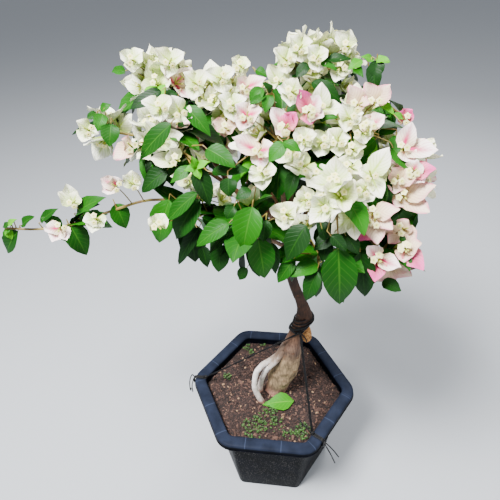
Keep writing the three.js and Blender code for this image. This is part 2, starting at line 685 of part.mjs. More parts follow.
add('pot', potGeometry(), COLOURS.pot);
add('soil', soilGeometry(), COLOURS.soil);
add('trunk', loft(trunkRings(0)), COLOURS.bark);

// What stands beside the trunk is cut level at the soil and clear of the trunk and each other
const trunkWithGap = toSolid(loft(trunkRings(CLEAR)));
const soilBlock = new THREE.BoxGeometry(2 * RIM_CORNER, 2 * RIM_CORNER, POT_HEIGHT);
soilBlock.translate(0, 0, SOIL_TOP + CLEAR - POT_HEIGHT / 2);
let standing = trunkWithGap.add(toSolid(soilBlock));
for (const [name, stations] of Object.entries(BESIDE_TRUNK)) {
  add(name, toGeometry(tube(stations, ROOT_SIDES).subtract(standing)), COLOURS[name.split('_')[0]]);
  standing = standing.add(tube(stations, ROOT_SIDES, CLEAR));
}

add('binding', loft(tubeRings(bindingStations(), CORD_SIDES)), COLOURS.cord);
const knot = new THREE.IcosahedronGeometry(KNOT.radius, 0);
knot.translate(...knotAt);
add('knot', knot, COLOURS.cord);
for (const [name, guy] of Object.entries(GUYS)) {
  add(name, loft(tubeRings(guyStations(guy), CORD_SIDES)), COLOURS.cord);
}
add('fallen_leaf', fallenLeafGeometry(), COLOURS.lime);

let limbsWithGap = trunkWithGap;
for (const mass of MASSES) {
  limbs[mass.name] = boughStations(mass);
  const bough = tube(limbs[mass.name], BOUGH_SIDES).subtract(limbsWithGap);
  add('bough_' + mass.name, toGeometry(bough), COLOURS.bough);
  limbsWithGap = limbsWithGap.add(tube(limbs[mass.name], BOUGH_SIDES, CLEAR));
  limbs[mass.name + ' stem'] = stemStations(mass);
}
for (const mass of MASSES) {
  add('mass_' + mass.name, massGeometry(mass), mass.bloom > 0.3 ? COLOURS.blooms : COLOURS.leaves);
}

export default plant;
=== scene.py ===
# A bougainvillea bonsai in a hexagonal nursery pot: a leaning trunk on two arched surface roots, tied
# down with black twine, and a crown of heart-shaped leaves and white papery blooms.
# Sizes are in millimetres until a mesh is made. Blender's frame is the part's own, in metres.
import math

import bpy
import numpy as np
from mathutils import Matrix, Vector, noise


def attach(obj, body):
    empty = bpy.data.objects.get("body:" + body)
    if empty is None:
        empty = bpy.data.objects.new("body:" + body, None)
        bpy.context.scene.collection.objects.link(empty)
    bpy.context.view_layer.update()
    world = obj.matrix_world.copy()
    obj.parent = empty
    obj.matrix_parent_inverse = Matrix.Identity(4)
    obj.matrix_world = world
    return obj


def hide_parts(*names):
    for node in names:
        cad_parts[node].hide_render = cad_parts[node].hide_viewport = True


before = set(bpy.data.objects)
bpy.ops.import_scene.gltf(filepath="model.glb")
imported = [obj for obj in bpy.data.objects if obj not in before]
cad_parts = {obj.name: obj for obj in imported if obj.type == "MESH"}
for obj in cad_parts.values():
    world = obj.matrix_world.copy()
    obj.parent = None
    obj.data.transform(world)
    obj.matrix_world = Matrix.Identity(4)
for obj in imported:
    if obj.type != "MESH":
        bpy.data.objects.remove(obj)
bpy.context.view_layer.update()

bpy.ops.object.select_all(action="DESELECT")

# Camera and studio. The photograph was taken standing up, with a phone's wide lens, looking down on
# the pot from its front and a little from the right. Soft light comes from above and all round.
MM = 0.001
PHOTO_SIZE, PHOTO_FOCAL = 500, 450  # the photograph's side and its lens's focal length, in pixels
SENSOR = 36
EYE = np.array([58.75, -627.87, 1033.61])
turn, down, lean = math.radians(-8.7026), math.radians(35.6829), math.radians(-2.5452)
ahead = Vector((math.sin(turn) * math.cos(down), math.cos(turn) * math.cos(down), -math.sin(down)))
level = Vector((math.cos(turn), -math.sin(turn), 0))
upward = level.cross(ahead)
right = level * math.cos(lean) + upward * math.sin(lean)
top = upward * math.cos(lean) - level * math.sin(lean)
camera = bpy.data.objects.new("camera", bpy.data.cameras.new("camera"))
camera.data.lens = SENSOR * PHOTO_FOCAL / PHOTO_SIZE
camera.data.clip_start = 0.05
aim = Matrix((right, top, -ahead)).transposed().to_4x4()
camera.matrix_world = Matrix.Translation(Vector(EYE) * MM) @ aim
bpy.context.scene.collection.objects.link(camera)
bpy.context.scene.camera = camera


def paint(code):
    """A colour from its sRGB hex code, made linear."""
    parts = [int(code[i:i + 2], 16) / 255 for i in (0, 2, 4)]
    return [p / 12.92 if p <= 0.04045 else ((p + 0.055) / 1.055) ** 2.4 for p in parts] + [1]


def add(material, kind, inputs=(), stops=None, out=None, to=None, **settings):
    """A node with its settings, its inputs (by name, or in the node's own order) and a ramp's stops,
    joined to a socket of the material's shader where one is named. Colours are given by hex code.
    What comes back is the node's first output, or a named one."""
    tree = material.node_tree
    node = tree.nodes.new("ShaderNode" + kind)
    if kind == "Mix":
        node.data_type = "RGBA"
    for name, value in settings.items():
        setattr(node, name, value)
    for name, value in inputs.items() if isinstance(inputs, dict) else enumerate(inputs):
        if isinstance(value, bpy.types.NodeSocket):
            tree.links.new(value, node.inputs[name])
        else:
            node.inputs[name].default_value = paint(value) if isinstance(value, str) else value
    for i, (stop, code) in enumerate((stops or {}).items()):
        if i > 1:
            node.color_ramp.elements.new(stop)
        node.color_ramp.elements[i].position = stop
        node.color_ramp.elements[i].color = paint(code)
    output = node.outputs[out] if out else next(socket for socket in node.outputs if socket.enabled)
    if to:
        tree.links.new(output, tree.nodes["Principled BSDF"].inputs[to])
    return output


def finish(name, roughness, colour=None, **uniform):
    """A material on the Principled shader, with what is the same all over it."""
    material = bpy.data.materials.new(name)
    material.use_nodes = True
    inputs = material.node_tree.nodes["Principled BSDF"].inputs
    inputs["Roughness"].default_value = roughness
    for socket, value in uniform.items():
        inputs[socket.replace("_", " ")].default_value = value
    if colour:
        inputs["Base Color"].default_value = paint(colour)
        material.diffuse_color = paint(colour)
    return material


bpy.ops.mesh.primitive_plane_add(size=40)
floor = bpy.context.object
floor.name = "studio_floor"
floor.data.materials.append(finish("matt_floor_paint", 0.9, "b4b8bd"))

world = bpy.data.worlds.new("studio")
world.use_nodes = True
sky = world.node_tree.nodes["Background"].inputs
sky["Color"].default_value = paint("eef3fa")
sky["Strength"].default_value = 0.48
bpy.context.scene.world = world
LAMPS = {  # place and target in mm, width in mm, power in W
    "key": ((-700, -800, 2400), (0, 0, 650), 700, 195),
    "fill": ((1500, -900, 1500), (0, 0, 500), 1200, 20),
    "back": ((500, 1600, 1900), (0, 0, 700), 900, 34),
}
for name, (place, target, width, power) in LAMPS.items():
    lamp = bpy.data.objects.new(name, bpy.data.lights.new(name, "AREA"))
    lamp.data.size = width * MM
    lamp.data.energy = power
    lamp.location = Vector(place) * MM
    lamp.rotation_euler = (Vector(target) - Vector(place)).to_track_quat("-Z", "Y").to_euler()
    bpy.context.scene.collection.objects.link(lamp)

# Pot. A hexagonal nursery pot, injection moulded in blue-black polypropylene, with a broad rim that
# is slightly crowned, a short skirt with a bead, and a thin wall that tapers to the foot.
POT_HEIGHT = 220
RIM_CORNER = 180
RIM_BAND = 25
SKIRT_FOOT = 206
CORNER_ROUND, TIGHTEST_ROUND = 40, 14
FOOT_INSET, TAPER, WALL = 44, 22, 3
COS30 = math.cos(math.pi / 6)


def hex_ring(inset, z, steps=7):
    """One level outline of the pot, inset from the rim's flat faces."""
    rounding = max(CORNER_ROUND - inset, TIGHTEST_ROUND)
    centre = RIM_CORNER - (inset + rounding) / COS30
    ring = []
    for corner in range(6):
        facing = corner * math.pi / 3
        for step in range(-steps, steps + 1):
            angle = facing + step / steps * math.pi / 6
            ring.append((centre * math.cos(facing) + rounding * math.cos(angle),
                         centre * math.sin(facing) + rounding * math.sin(angle), z))
    return ring


def wall_inset(z):
    """How far in from the rim's faces the outside of the wall is at a height."""
    return FOOT_INSET - TAPER * z / POT_HEIGHT


def run_along(points):
    """How far along a line of points each of them lies, in metres."""
    spans = np.linalg.norm(np.diff(np.array(points)[:, :3], axis=0), axis=1)
    return np.concatenate([[0], np.cumsum(spans)]) * MM


def wrap(name, rings, sharp=35):
    """A sheet wrapped into a closed skin: its rows become the rings, and both its ends are filled.
    The sheet's own UV map runs round the skin in u and along it in v."""
    rings = np.array(rings, float)
    rows, sides = rings.shape[:2]
    bpy.ops.mesh.primitive_grid_add(x_subdivisions=sides, y_subdivisions=rows - 1, size=1)
    skin = bpy.context.object
    skin.name = skin.data.name = name
    sheet = np.concatenate([rings, rings[:, :1]], axis=1).reshape(-1, 3) * MM
    skin.data.vertices.foreach_set("co", sheet.ravel())
    bpy.ops.object.mode_set(mode="EDIT")
    bpy.ops.mesh.select_all(action="SELECT")
    bpy.ops.mesh.remove_doubles(threshold=1e-6)
    bpy.ops.mesh.fill_holes(sides=0)
    bpy.ops.mesh.select_all(action="SELECT")
    bpy.ops.mesh.normals_make_consistent(inside=False)
    bpy.ops.object.mode_set(mode="OBJECT")
    bpy.ops.object.shade_smooth_by_angle(angle=math.radians(sharp))
    bpy.ops.object.select_all(action="DESELECT")
    return skin


# the wall's section, by inset and height: up the outside, over the rim and down the inside
profile = [(wall_inset(0) + more, z) for more, z in ((WALL, 0), (1, 0.5), (0.2, 2))]
profile += [(wall_inset(z), z) for z in (4, 60, 120, 180, 213)]
profile += [(wall_inset(215) - 1, 215.4), (5, 216), (3, 215), (2.6, 212), (2.6, SKIRT_FOOT)]
profile += [(1.5, 205.8), (0, SKIRT_FOOT), (-0.8, 206.8), (-0.9, 207.8), (0.1, 209), (0.2, 214)]
profile += [(0.7, 216.6), (1.8, 218.3), (3.6, 219.3), (7, 219.8), (RIM_BAND / 2, POT_HEIGHT)]
profile += [(18, 219.8), (21.4, 219.3), (23.4, 218.2), (24.6, 216.4), (RIM_BAND, 214)]
profile += [(wall_inset(z) + WALL, z) for z in (211, 120, 3)]
pot = wrap("nursery_pot", [hex_ring(inset, z) for inset, z in profile])

# the pot's u is the distance round the rim in metres, so that marks across the rim keep their spacing
outline = hex_ring(0, 0)
round_rim = run_along(outline + outline[:1])
for corner in pot.data.uv_layers.active.data:
    corner.uv.x = round_rim[round(corner.uv.x * len(outline))]

# polypropylene: IOR 1.49, filmed with dust so that it hardly shines, with specks of dust and lime 3 mm
# apart on the wall and pale marks of the mould every 70 mm across the rim
MARK_SPACING = 0.07
plastic = finish("moulded_polypropylene", 0.42, IOR=1.49, Specular_IOR_Level=0.02)
at = add(plastic, "TexCoord", out="Object")
height = add(plastic, "SeparateXYZ", [at], out="Z")
on_rim = add(plastic, "MapRange", [height, 0.2135, 0.2165])
cloud = add(plastic, "TexNoise", {"Vector": at, "Scale": 38, "Detail": 5})
# one plastic in two tones: the wall's near-black is partly its own colour and partly painted shade, and the
# lighter blue-grey of the rim is painted light from the sky
wall_in_painted_shade = add(plastic, "ValToRGB", [cloud], {0.35: "030406", 0.7: "080a12"})
rim_in_painted_light = add(plastic, "ValToRGB", [cloud], {0.3: "191d28", 0.75: "262c3c"})
along_rim = add(plastic, "SeparateXYZ", [add(plastic, "TexCoord", out="UV")])
off_mark = add(plastic, "Math", [along_rim, MARK_SPACING / 2], operation="PINGPONG")
mark = add(plastic, "MapRange", [off_mark, 0.0012, 0.0, 0.0, 0.45])
marked = add(plastic, "Mix", {"Factor": mark, "A": rim_in_painted_light, "B": "4a546e"})
shell = add(plastic, "Mix", {"Factor": on_rim, "A": wall_in_painted_shade, "B": marked})
speck = add(plastic, "TexVoronoi", {"Vector": at, "Scale": 330})
drifts = add(plastic, "TexNoise", {"Vector": at, "Scale": 60, "Detail": 3})
dusty = add(plastic, "Math", [drifts, 0.5], operation="MULTIPLY")
dust = add(plastic, "Math", [speck, dusty], operation="LESS_THAN")
below_skirt = add(plastic, "MapRange", [height, 0.205, 0.2])
dust_outside = add(plastic, "Math", [dust, below_skirt], operation="MULTIPLY")
add(plastic, "Mix", {"Factor": dust_outside, "A": shell, "B": "4c4a48"}, to="Base Color")
grain = add(plastic, "TexNoise", {"Vector": at, "Scale": 900, "Detail": 2})
add(plastic, "Bump", {"Height": grain, "Strength": 0.12, "Distance": 0.0004}, to="Normal")
pot.data.materials.append(plastic)
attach(pot, "root")
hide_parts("pot")

# Potting mix. Coir and chopped bark, filled to 19 mm below the rim and watered down, so that it is
# lumpy and has settled a little away from the wall.
SOIL_TOP, SOIL_FOOT = 201, 3.4
SOIL_INSET, FOOT_GAP = 3.4, 3.8  # the wall's thickness and a slight gap, at the top and at the foot
SOIL_LUMPS = ((2.2, 38, 3), (1.4, 11, 8))  # height and breadth in mm, and the layer of noise


def soil_height(x, y):
    """The lie of the soil at a place, in mm."""
    height = SOIL_TOP
    for rise, breadth, layer in SOIL_LUMPS:
        height += rise * noise.noise(Vector((x / breadth, y / breadth, layer)))
    return height


inner = wall_inset(SOIL_TOP) + SOIL_INSET
rings = [hex_ring(wall_inset(4) + FOOT_GAP, SOIL_FOOT), hex_ring(inner, SOIL_TOP - 5)]
rim_line = np.array(hex_ring(inner, SOIL_TOP))
for share in (0.995, 0.96, 0.92, 0.87, 0.81, 0.75, 0.68, 0.61, 0.54, 0.46, 0.38, 0.3, 0.21, 0.12, 0.04):
    rings.append([(x * share, y * share, soil_height(x * share, y * share)) for x, y, _ in rim_line])
soil = wrap("potting_mix", rings, sharp=60)

# damp coir: very rough, red-brown crumbs of about 2 mm in a darker dust
coir = finish("damp_coir", 0.95)
at = add(coir, "TexCoord", out="Object")
crumb = add(coir, "TexVoronoi", {"Vector": at, "Scale": 420})
patch = add(coir, "TexNoise", {"Vector": at, "Scale": 45, "Detail": 4}, out="Color")
blend = add(coir, "Mix", {"Factor": 0.45, "A": crumb.node.outputs["Color"], "B": patch})
add(coir, "ValToRGB", [blend], {0.25: "0c0706", 0.5: "241612", 0.75: "412c25"}, to="Base Color")
add(coir, "Bump", {"Height": crumb, "Strength": 0.8, "Distance": 0.002}, to="Normal")
soil.data.materials.append(coir)
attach(soil, "root")
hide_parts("soil")


class Heap:
    """Many small copies gathered into one mesh, each with its own shade from 0 to 1."""

    def __init__(self):
        self.points, self.faces, self.uvs, self.shades, self.count = [], [], [], [], 0

    def drop(self, points, faces, shade, uv=None):
        """Adds a copy, whose points are in mm."""
        self.points.append(np.asarray(points, float))
        self.faces += [[i + self.count for i in face] for face in faces]
        self.uvs.append(np.zeros((len(points), 2)) if uv is None else uv)
        self.shades.append(np.broadcast_to(shade, len(points)))
        self.count += len(points)

    def gather(self, name, material, slot, replaced=(), sharp=50):
        """Makes the piece out of all copies so far, in metres."""
        mesh = bpy.data.meshes.new(name)
        mesh.from_pydata((np.concatenate(self.points) * MM).tolist(), [], self.faces)
        corners = np.empty(len(mesh.loops), int)
        mesh.loops.foreach_get("vertex_index", corners)
        layer = mesh.uv_layers.new(name="UVMap")
        layer.data.foreach_set("uv", np.concatenate(self.uvs)[corners].ravel())
        mesh.attributes.new("shade", "FLOAT", "POINT").data.foreach_set("value", np.concatenate(self.shades))
        mesh.materials.append(material)
        piece = bpy.data.objects.new(name, mesh)
        bpy.context.scene.collection.objects.link(piece)
        piece.select_set(True)
        bpy.context.view_layer.objects.active = piece
        bpy.ops.object.shade_smooth_by_angle(angle=math.radians(sharp))
        bpy.ops.object.select_all(action="DESELECT")
        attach(piece, "root")
        if replaced:
            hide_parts(*replaced)


def in_pot(x, y, margin):
    """True where a place on the soil lies inside the pot's wall by a margin."""
    reach = RIM_CORNER * COS30 - inner - margin
    faces = [math.pi / 6 + k * math.pi / 3 for k in range(6)]
    return all(x * math.cos(face) + y * math.sin(face) < reach for face in faces)


# loose bark chips and coir crumbs on the surface, 2 to 10 mm long and a few up to 18 mm, half sunk in it
CHIPS, CHIP_FIELD = 2600, 150
CHIP_SIZES, LARGER, LARGER_SHARE = (1.0, 2.4), 1.7, 0.08
ANY_TURN = 6.3  # a full turn, for what is turned at random
bpy.ops.mesh.primitive_ico_sphere_add(subdivisions=1, radius=1)
pebble = bpy.context.object
chip_points = np.array([v.co for v in pebble.data.vertices])
chip_faces = [list(p.vertices) for p in pebble.data.polygons]
bpy.data.objects.remove(pebble)
chance = np.random.default_rng(11)
chips = Heap()
while len(chips.points) < CHIPS:
    x, y = chance.uniform(-CHIP_FIELD, CHIP_FIELD, 2)
    if not in_pot(x, y, 2):
        continue
    size = chance.uniform(*CHIP_SIZES) * (LARGER if chance.random() < LARGER_SHARE else 1)
    shape = np.array([size * chance.uniform(1, 2.2), size, size * chance.uniform(0.5, 0.9)])
    tilt = Matrix.Rotation(chance.uniform(0, ANY_TURN), 3, "Z")
    tilt = tilt @ Matrix.Rotation(chance.normal(0, 0.5), 3, "X")
    chip = chip_points * (1 + chance.uniform(-0.25, 0.25, (len(chip_points), 1)))
    chips.drop((chip * shape) @ np.array(tilt).T + (x, y, soil_height(x, y) + size * 0.25),
               chip_faces, chance.random())

# bark chips: red-brown with some dark and some tan ones, matt
chip_bark = finish("chopped_bark", 0.9)
shade = add(chip_bark, "Attribute", attribute_name="shade", out="Fac")
add(chip_bark, "ValToRGB", [shade], {0: "150d0a", 0.45: "38251f", 0.93: "5a4035", 1: "94765a"},
    to="Base Color")
chips.gather("bark_chips", chip_bark, "soil")

# Moss and seedlings. Small green weeds that have sown themselves in the damp mix, mostly along the
# front wall.
PATCHES = [  # middle and radius in mm, and a count of which half as many again are set
    (-30, -100, 26, 60), (70, -100, 18, 44), (-4, -72, 22, 34), (4, -56, 12, 10), (-72, 112, 9, 16),
    (-60, 98, 8, 10), (-106, 20, 9, 14), (-36, 126, 8, 10), (40, -108, 12, 12), (18, -92, 18, 14),
]
SPRIG_LEAVES = 6
sprig_leaf = np.array([(0, 0, 0), (2.2, 1.0, 0.7), (5.2, 0, 0.9), (2.2, -1.0, 0.7), (2.4, 0, 0.1)])
sprig_faces = [[0, 3, 1], [1, 3, 2], [0, 1, 4], [1, 2, 4], [2, 3, 4], [3, 0, 4]]
moss = Heap()
for cx, cy, radius, count in PATCHES:
    for _ in range(count * 3 // 2):
        away, facing = radius * math.sqrt(chance.random()), chance.uniform(0, ANY_TURN)
        x, y = cx + away * math.cos(facing), cy + away * math.sin(facing)
        if not in_pot(x, y, 4):
            continue
        lift, size, shade = chance.uniform(0.5, 6), chance.uniform(0.35, 0.85), chance.random()
        for leaf in range(SPRIG_LEAVES):
            around = leaf * math.pi / 3 + facing
            tilt = Matrix.Rotation(around, 3, "Z") @ Matrix.Rotation(-chance.uniform(0.1, 0.8), 3, "Y")
            moss.drop(sprig_leaf * size @ np.array(tilt).T + (x, y, soil_height(x, y) + lift),
                      sprig_faces, shade)

# soft young leaves: each plant its own green, from dark to bright, and matt
weed = finish("soft_green_weed", 0.6)
shade = add(weed, "Attribute", attribute_name="shade", out="Fac")
add(weed, "ValToRGB", [shade], {0: "18300e", 1: "446e28"}, to="Base Color")
moss.gather("moss_and_seedlings", weed, "soil")

# Trunk. One leaning stem, swollen and knobbly at its foot, where it is ochre and worn by washing,
# grey-brown up to the tie, waisted there, and slim and red-brown above, ringed by old leaf scars.
TRUNK = [
    [8, 3, 201.3, 23.5], [12, 3, 219, 22], [17, 2, 240, 24], [24, 2, 266, 25.5],
    [29, 1, 290, 25], [33, 1, 312, 23], [38, 0, 336, 20], [42, 0, 358, 16.8],
    [46, 0, 382, 13.5], [50, 0, 398, 12.8], [57, 0, 411, 15], [61, 0, 424, 16.5],
    [61, 1, 437, 14], [58, 2, 452, 11], [52, 2, 470, 9.6], [40, 2, 503, 9], [32, 2, 545, 8.8],
    [27, 1, 590, 8.6], [24, 0, 630, 8.4], [23, 0, 648, 7],
]  # middle line's x, y and z, and the radius
BARK_WAVES = [(0.06, 2, 40), (0.05, 3, -25)]  # share of the radius, lobes round it, climb in mm
FOOT_TOP, FOOT_FADE = 400, 120  # the swollen foot ends at this height, over this much of the stem
KNOBS, FURROWS, FOOT_FURROWS, PITS = 3.0, 0.35, 0.75, 0.5  # heights of the relief
SCARS, SCAR_CLIMB = 0.5, 9.5  # height of the rings that leaf scars leave, and their spacing over 2 pi
TRUNK_SIDES, TRUNK_STEP = 56, 2.6


def bark_radius(radius, angle, z):
    """The trunk's radius with its lobes, which wind up it."""
    return radius + sum(radius * share * math.cos(lobes * angle + z / climb)
                        for share, lobes, climb in BARK_WAVES)


def smoothed(stations, step):
    """Stations on a smooth curve through the given ones, about a step apart."""
    stations = np.array(stations, float)
    ends = [2 * stations[0] - stations[1], *stations, 2 * stations[-1] - stations[-2]]
    found = []
    for a, b, c, d in zip(ends, ends[1:], ends[2:], ends[3:]):
        count = max(round(np.linalg.norm(c[:3] - b[:3]) / step), 1)
        for t in np.arange(count) / count:
            found.append(0.5 * (2 * b + (c - a) * t + (2 * a - 5 * b + 4 * c - d) * t ** 2
                                + (3 * b - a - 3 * c + d) * t ** 3))
    return [*found, stations[-1]]


def bark_relief(x, y, z, foot):
    """Knobs and hollows near the foot, and finer furrows that run up the stem, in mm."""
    knobs = noise.noise(Vector((x / 13, y / 13, z / 17)))
    furrows = noise.noise(Vector((x / 3.2, y / 3.2, z / 16)))
    pits = noise.noise(Vector((x / 4, y / 4, z / 4)))
    return foot * KNOBS * knobs + (FURROWS + FOOT_FURROWS * foot) * furrows + PITS * foot * pits


rings = []
for x, y, z, radius in smoothed(TRUNK, TRUNK_STEP):
    foot = min(max((FOOT_TOP - z) / FOOT_FADE, 0), 1)
    scar = SCARS * max(math.cos(z / SCAR_CLIMB), 0) ** 8 * (1 - foot)
    ring = []
    for side in range(TRUNK_SIDES):
        angle = side / TRUNK_SIDES * 2 * math.pi
        r = bark_radius(radius, angle, z) + scar
        r += bark_relief(r * math.cos(angle), r * math.sin(angle), z, foot)
        ring.append((x + r * math.cos(angle), y + r * math.sin(angle), z))
    rings.append(ring)
trunk = wrap("trunk_bark", rings, sharp=60)


def height_zone(material, at, blur, low, high):
    """Where a place lies between two heights in metres, from 0 to 1, blurred by a noise."""
    drift = add(material, "MapRange", [blur, 0, 1, -0.03, 0.03])
    height = add(material, "SeparateXYZ", [at], out="Z")
    blurred = add(material, "Math", [height, drift], operation="ADD")
    return add(material, "MapRange", [blurred, low, high])


# bark: ochre at the washed foot, grey-brown above it, red-brown past the tie, where its deep brown is
# partly painted shade under the crown, with paler raised fibres that run up the stem every 2 or 3 mm
# and rust-coloured sores of about 10 mm
bark = finish("weathered_bark", 0.85)
at = add(bark, "TexCoord", out="Object")
patches = add(bark, "TexNoise", {"Vector": at, "Scale": 55, "Detail": 5, "Roughness": 0.6})
zone = height_zone(bark, at, patches, 0.2, 0.65)
# the stops from 0.5 up are partly the bark's own red-brown and partly painted shade
tone = add(bark, "ValToRGB", [zone], {0: "93695a", 0.07: "9c8466", 0.22: "97805f", 0.33: "745949",
                                      0.42: "6e4a32", 0.5: "3e2517", 0.8: "382115"})
pulled = add(bark, "Mapping", {"Vector": at, "Scale": (1, 1, 0.16)})
fibre = add(bark, "TexNoise", {"Vector": pulled, "Scale": 420, "Detail": 4})
light = add(bark, "MapRange", [fibre, 0.3, 0.75, 0.52, 1.42])
fibred = add(bark, "Mix", {"Factor": 1.0, "A": tone, "B": light}, blend_type="MULTIPLY")
blotch = add(bark, "MapRange", [patches, 0.35, 0.62, 1.25, 0.6])
blotched = add(bark, "Mix", {"Factor": 1.0, "A": fibred, "B": blotch}, blend_type="MULTIPLY")
sores = add(bark, "TexNoise", {"Vector": at, "Scale": 95, "Detail": 3})
sored = add(bark, "MapRange", [sores, 0.62, 0.7, 0, 0.55])
add(bark, "Mix", {"Factor": sored, "A": blotched, "B": "6b3f22"}, to="Base Color")
add(bark, "Bump", {"Height": fibre, "Strength": 0.7, "Distance": 0.0012}, to="Normal")
trunk.data.materials.append(bark)
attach(trunk, "root")
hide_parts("trunk")

# Surface roots and stub. Two old roots arch out of the trunk's left side and run down into the soil;
# they were dug free and are washed pale. The stub is a shoot cut back below the tie.
ROOTS = {
    "root_outer": [
        [26, -2, 350, 7], [13, -8, 324, 7.2], [-3, -14, 311, 6.8], [-18, -20, 303, 6.4],
        [-30, -27, 289, 6.2], [-35, -32, 265, 6.2], [-34, -35, 239, 6.4], [-28, -35, 218, 6.8],
        [-21, -33, 196, 7.6]],
    "root_inner": [
        [24, -8, 336, 6.6], [10, -17, 316, 6.4], [-4, -20, 299, 6.2], [-14, -18, 279, 6],
        [-21, -14, 254, 6], [-26, -9, 226, 6.4], [-28, -6, 196, 7]],
}
STUB = [[61, 1, 403, 7], [65, 3, 392, 9], [67, 4, 378, 10], [68, 5, 366, 9.5], [68, 5, 359, 7.5]]


def tube_faces(rows, sides):
    """The faces of a closed tube: its sides, ring by ring, and its two ends."""
    faces = [[r * sides + s, r * sides + (s + 1) % sides, (r + 1) * sides + (s + 1) % sides,
              (r + 1) * sides + s] for r in range(rows - 1) for s in range(sides)]
    return faces + [list(range(sides))[::-1], [(rows - 1) * sides + s for s in range(sides)]]


def unit(v):
    return v / np.linalg.norm(v)


def tube_rings(stations, sides, swell=None):
    """Rings square to a middle line of stations [x, y, z, radius], turned as little as possible."""
    stations = np.array(stations, float)
    points = stations[:, :3]
    across = None
    rings = []
    for i, point in enumerate(points):
        along = unit(points[min(i + 1, len(points) - 1)] - points[max(i - 1, 0)])
        if across is None:
            across = np.array([1.0, 0, 0] if abs(along[2]) > 0.9 else [0, 0, 1.0])
        across = unit(across - along * across.dot(along))
        other = np.cross(along, across)
        turns = np.arange(sides) / sides * 2 * math.pi
        spokes = np.outer(np.cos(turns), across) + np.outer(np.sin(turns), other)
        radii = np.full(sides, stations[i, 3])
        if swell:
            radii += [swell(*(point + spoke * stations[i, 3])) for spoke in spokes]
        rings.append(point + spokes * radii[:, None])
    return rings


# washed root: pale grey-cream, with stains and low wrinkles of about 8 mm, reddish from the soil at its
# foot and browner where it leaves the trunk
root_skin = finish("washed_root", 0.6)
at = add(root_skin, "TexCoord", out="Object")
stain = add(root_skin, "TexNoise", {"Vector": at, "Scale": 120, "Detail": 5})
zone = height_zone(root_skin, at, stain, 0.2, 0.35)
tone = add(root_skin, "ValToRGB", [zone], {0: "b0806c", 0.12: "ddd2c8", 0.66: "e8e1dc", 0.77: "a08c7c",
                                           0.87: "6c5646"})
grime = add(root_skin, "MapRange", [stain, 0.35, 0.6, 0.8, 1.05])
add(root_skin, "Mix", {"Factor": 1.0, "A": tone, "B": grime}, blend_type="MULTIPLY", to="Base Color")
add(root_skin, "Bump", {"Height": stain, "Strength": 0.5, "Distance": 0.0008}, to="Normal")


def lumps(x, y, z, breadth):
    """From -1 to 1, by a noise with lumps of some breadth in mm."""
    return noise.noise(Vector((x / breadth, y / breadth, z / breadth)))


def root_swell(x, y, z):
    """A root's skin lies a little inside its solid and is knotty."""
    return -0.6 + 0.9 * lumps(x, y, z, 9) + 0.3 * lumps(x, y, z, 3)


for name, stations in ROOTS.items():
    root = wrap(name + "_skin", tube_rings(smoothed(stations, 2.4), 24, root_swell), sharp=70)
    root.data.materials.append(root_skin)
    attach(root, "root")
    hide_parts(name)

# cork of a cut shoot: tan-orange, crumbling and open, in flakes of 2 to 4 mm
cork = finish("flaking_cork", 0.9)
flake = add(cork, "TexVoronoi", {"Vector": add(cork, "TexCoord", out="Object"), "Scale": 300})
add(cork, "ValToRGB", [flake], {0.1: "c99a5c", 0.5: "a8733a", 0.9: "5e3a1e"}, to="Base Color")
add(cork, "Bump", {"Height": flake, "Strength": 0.8, "Distance": 0.001}, to="Normal")
stub_rings = tube_rings(smoothed(STUB, 1.8), 28, lambda x, y, z: 1.6 * lumps(x, y, z, 5))
stub = wrap("cut_stub", stub_rings, sharp=60)
stub.data.materials.append(cork)
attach(stub, "root")
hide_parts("stub")

# Ties. Black polypropylene twine, twisted from strands: wound round the trunk's waist, knotted in
# front, and led down taut to the rim on both sides, where it is hitched and its ends stick out.
CORD_RADIUS = 1.2
KNOT_FACING, KNOT_Z, KNOT_LIFT = -1.35, 400, 4.1
HOOK = [  # inset from the rim's outer face, and height
    (24, 221.5), (12.5, 221.5), (2, 221.5), (-2.5, 218), (-3, 206), (-0.5, 204), (5, 204.5), (6, 211),
]


def trunk_at(z):
    """Middle and radius of the trunk at a height."""
    above = next(i for i, station in enumerate(TRUNK) if station[2] >= z)
    low, high = np.array(TRUNK[max(above - 1, 0)]), np.array(TRUNK[max(above, 1)])
    return low + (high - low) * (z - low[2]) / (high[2] - low[2])


def off_bark(angle, z, lift):
    """A point some way off the bark, by its angle round the trunk and its height."""
    x, y, _, radius = trunk_at(z)
    out = bark_radius(radius, angle, z) + lift
    return np.array([x + out * math.cos(angle), y + out * math.sin(angle), z])


def outward(facing):
    """The level ways out from the pot's middle and along its rim, on the side that faces some way."""
    out = np.array([math.cos(facing), math.sin(facing), 0])
    return out, np.array([-out[1], out[0], 0])


def hook(facing, offset, outer):
    """The run of a guy at the rim: over it, down its skirt and up under its lip."""
    out, beside = outward(facing)
    return [out * (outer - inset) + beside * offset + (0, 0, z) for inset, z in HOOK]


def cord_tube(heap, points, radius=CORD_RADIUS, sides=8, step=2.5):
    """Twine along points, with u running round it and v along it in metres, for its twist."""
    stations = smoothed([[*point, radius] for point in points], step)
    rings = np.array(tube_rings(stations, sides))
    uv = [(s / sides, along) for along in run_along(stations) for s in range(sides)]
    heap.drop(rings.reshape(-1, 3), tube_faces(len(rings), sides), 0.5, np.array(uv))


def turn_round(angles, at_angle):
    """The points of a turn of twine, at some number of angles from 0 to a full turn."""
    return [at_angle(a) for a in np.linspace(0, 2 * math.pi, angles)]


TURNS, TURN_STEPS = 3, 20
LOWEST, CLIMB, DIP, OFF_BARK = 405.5, 26.5, 5, 2.2
knot_at = off_bark(KNOT_FACING, KNOT_Z, KNOT_LIFT)
binding = []
for step in range(TURNS * TURN_STEPS + 1):
    angle = KNOT_FACING + step / TURN_STEPS * 2 * math.pi
    z = LOWEST + CLIMB * step / (TURNS * TURN_STEPS) + DIP * math.cos(angle)
    binding.append(off_bark(angle, z, OFF_BARK))
lashing = Heap()
cord_tube(lashing, binding)
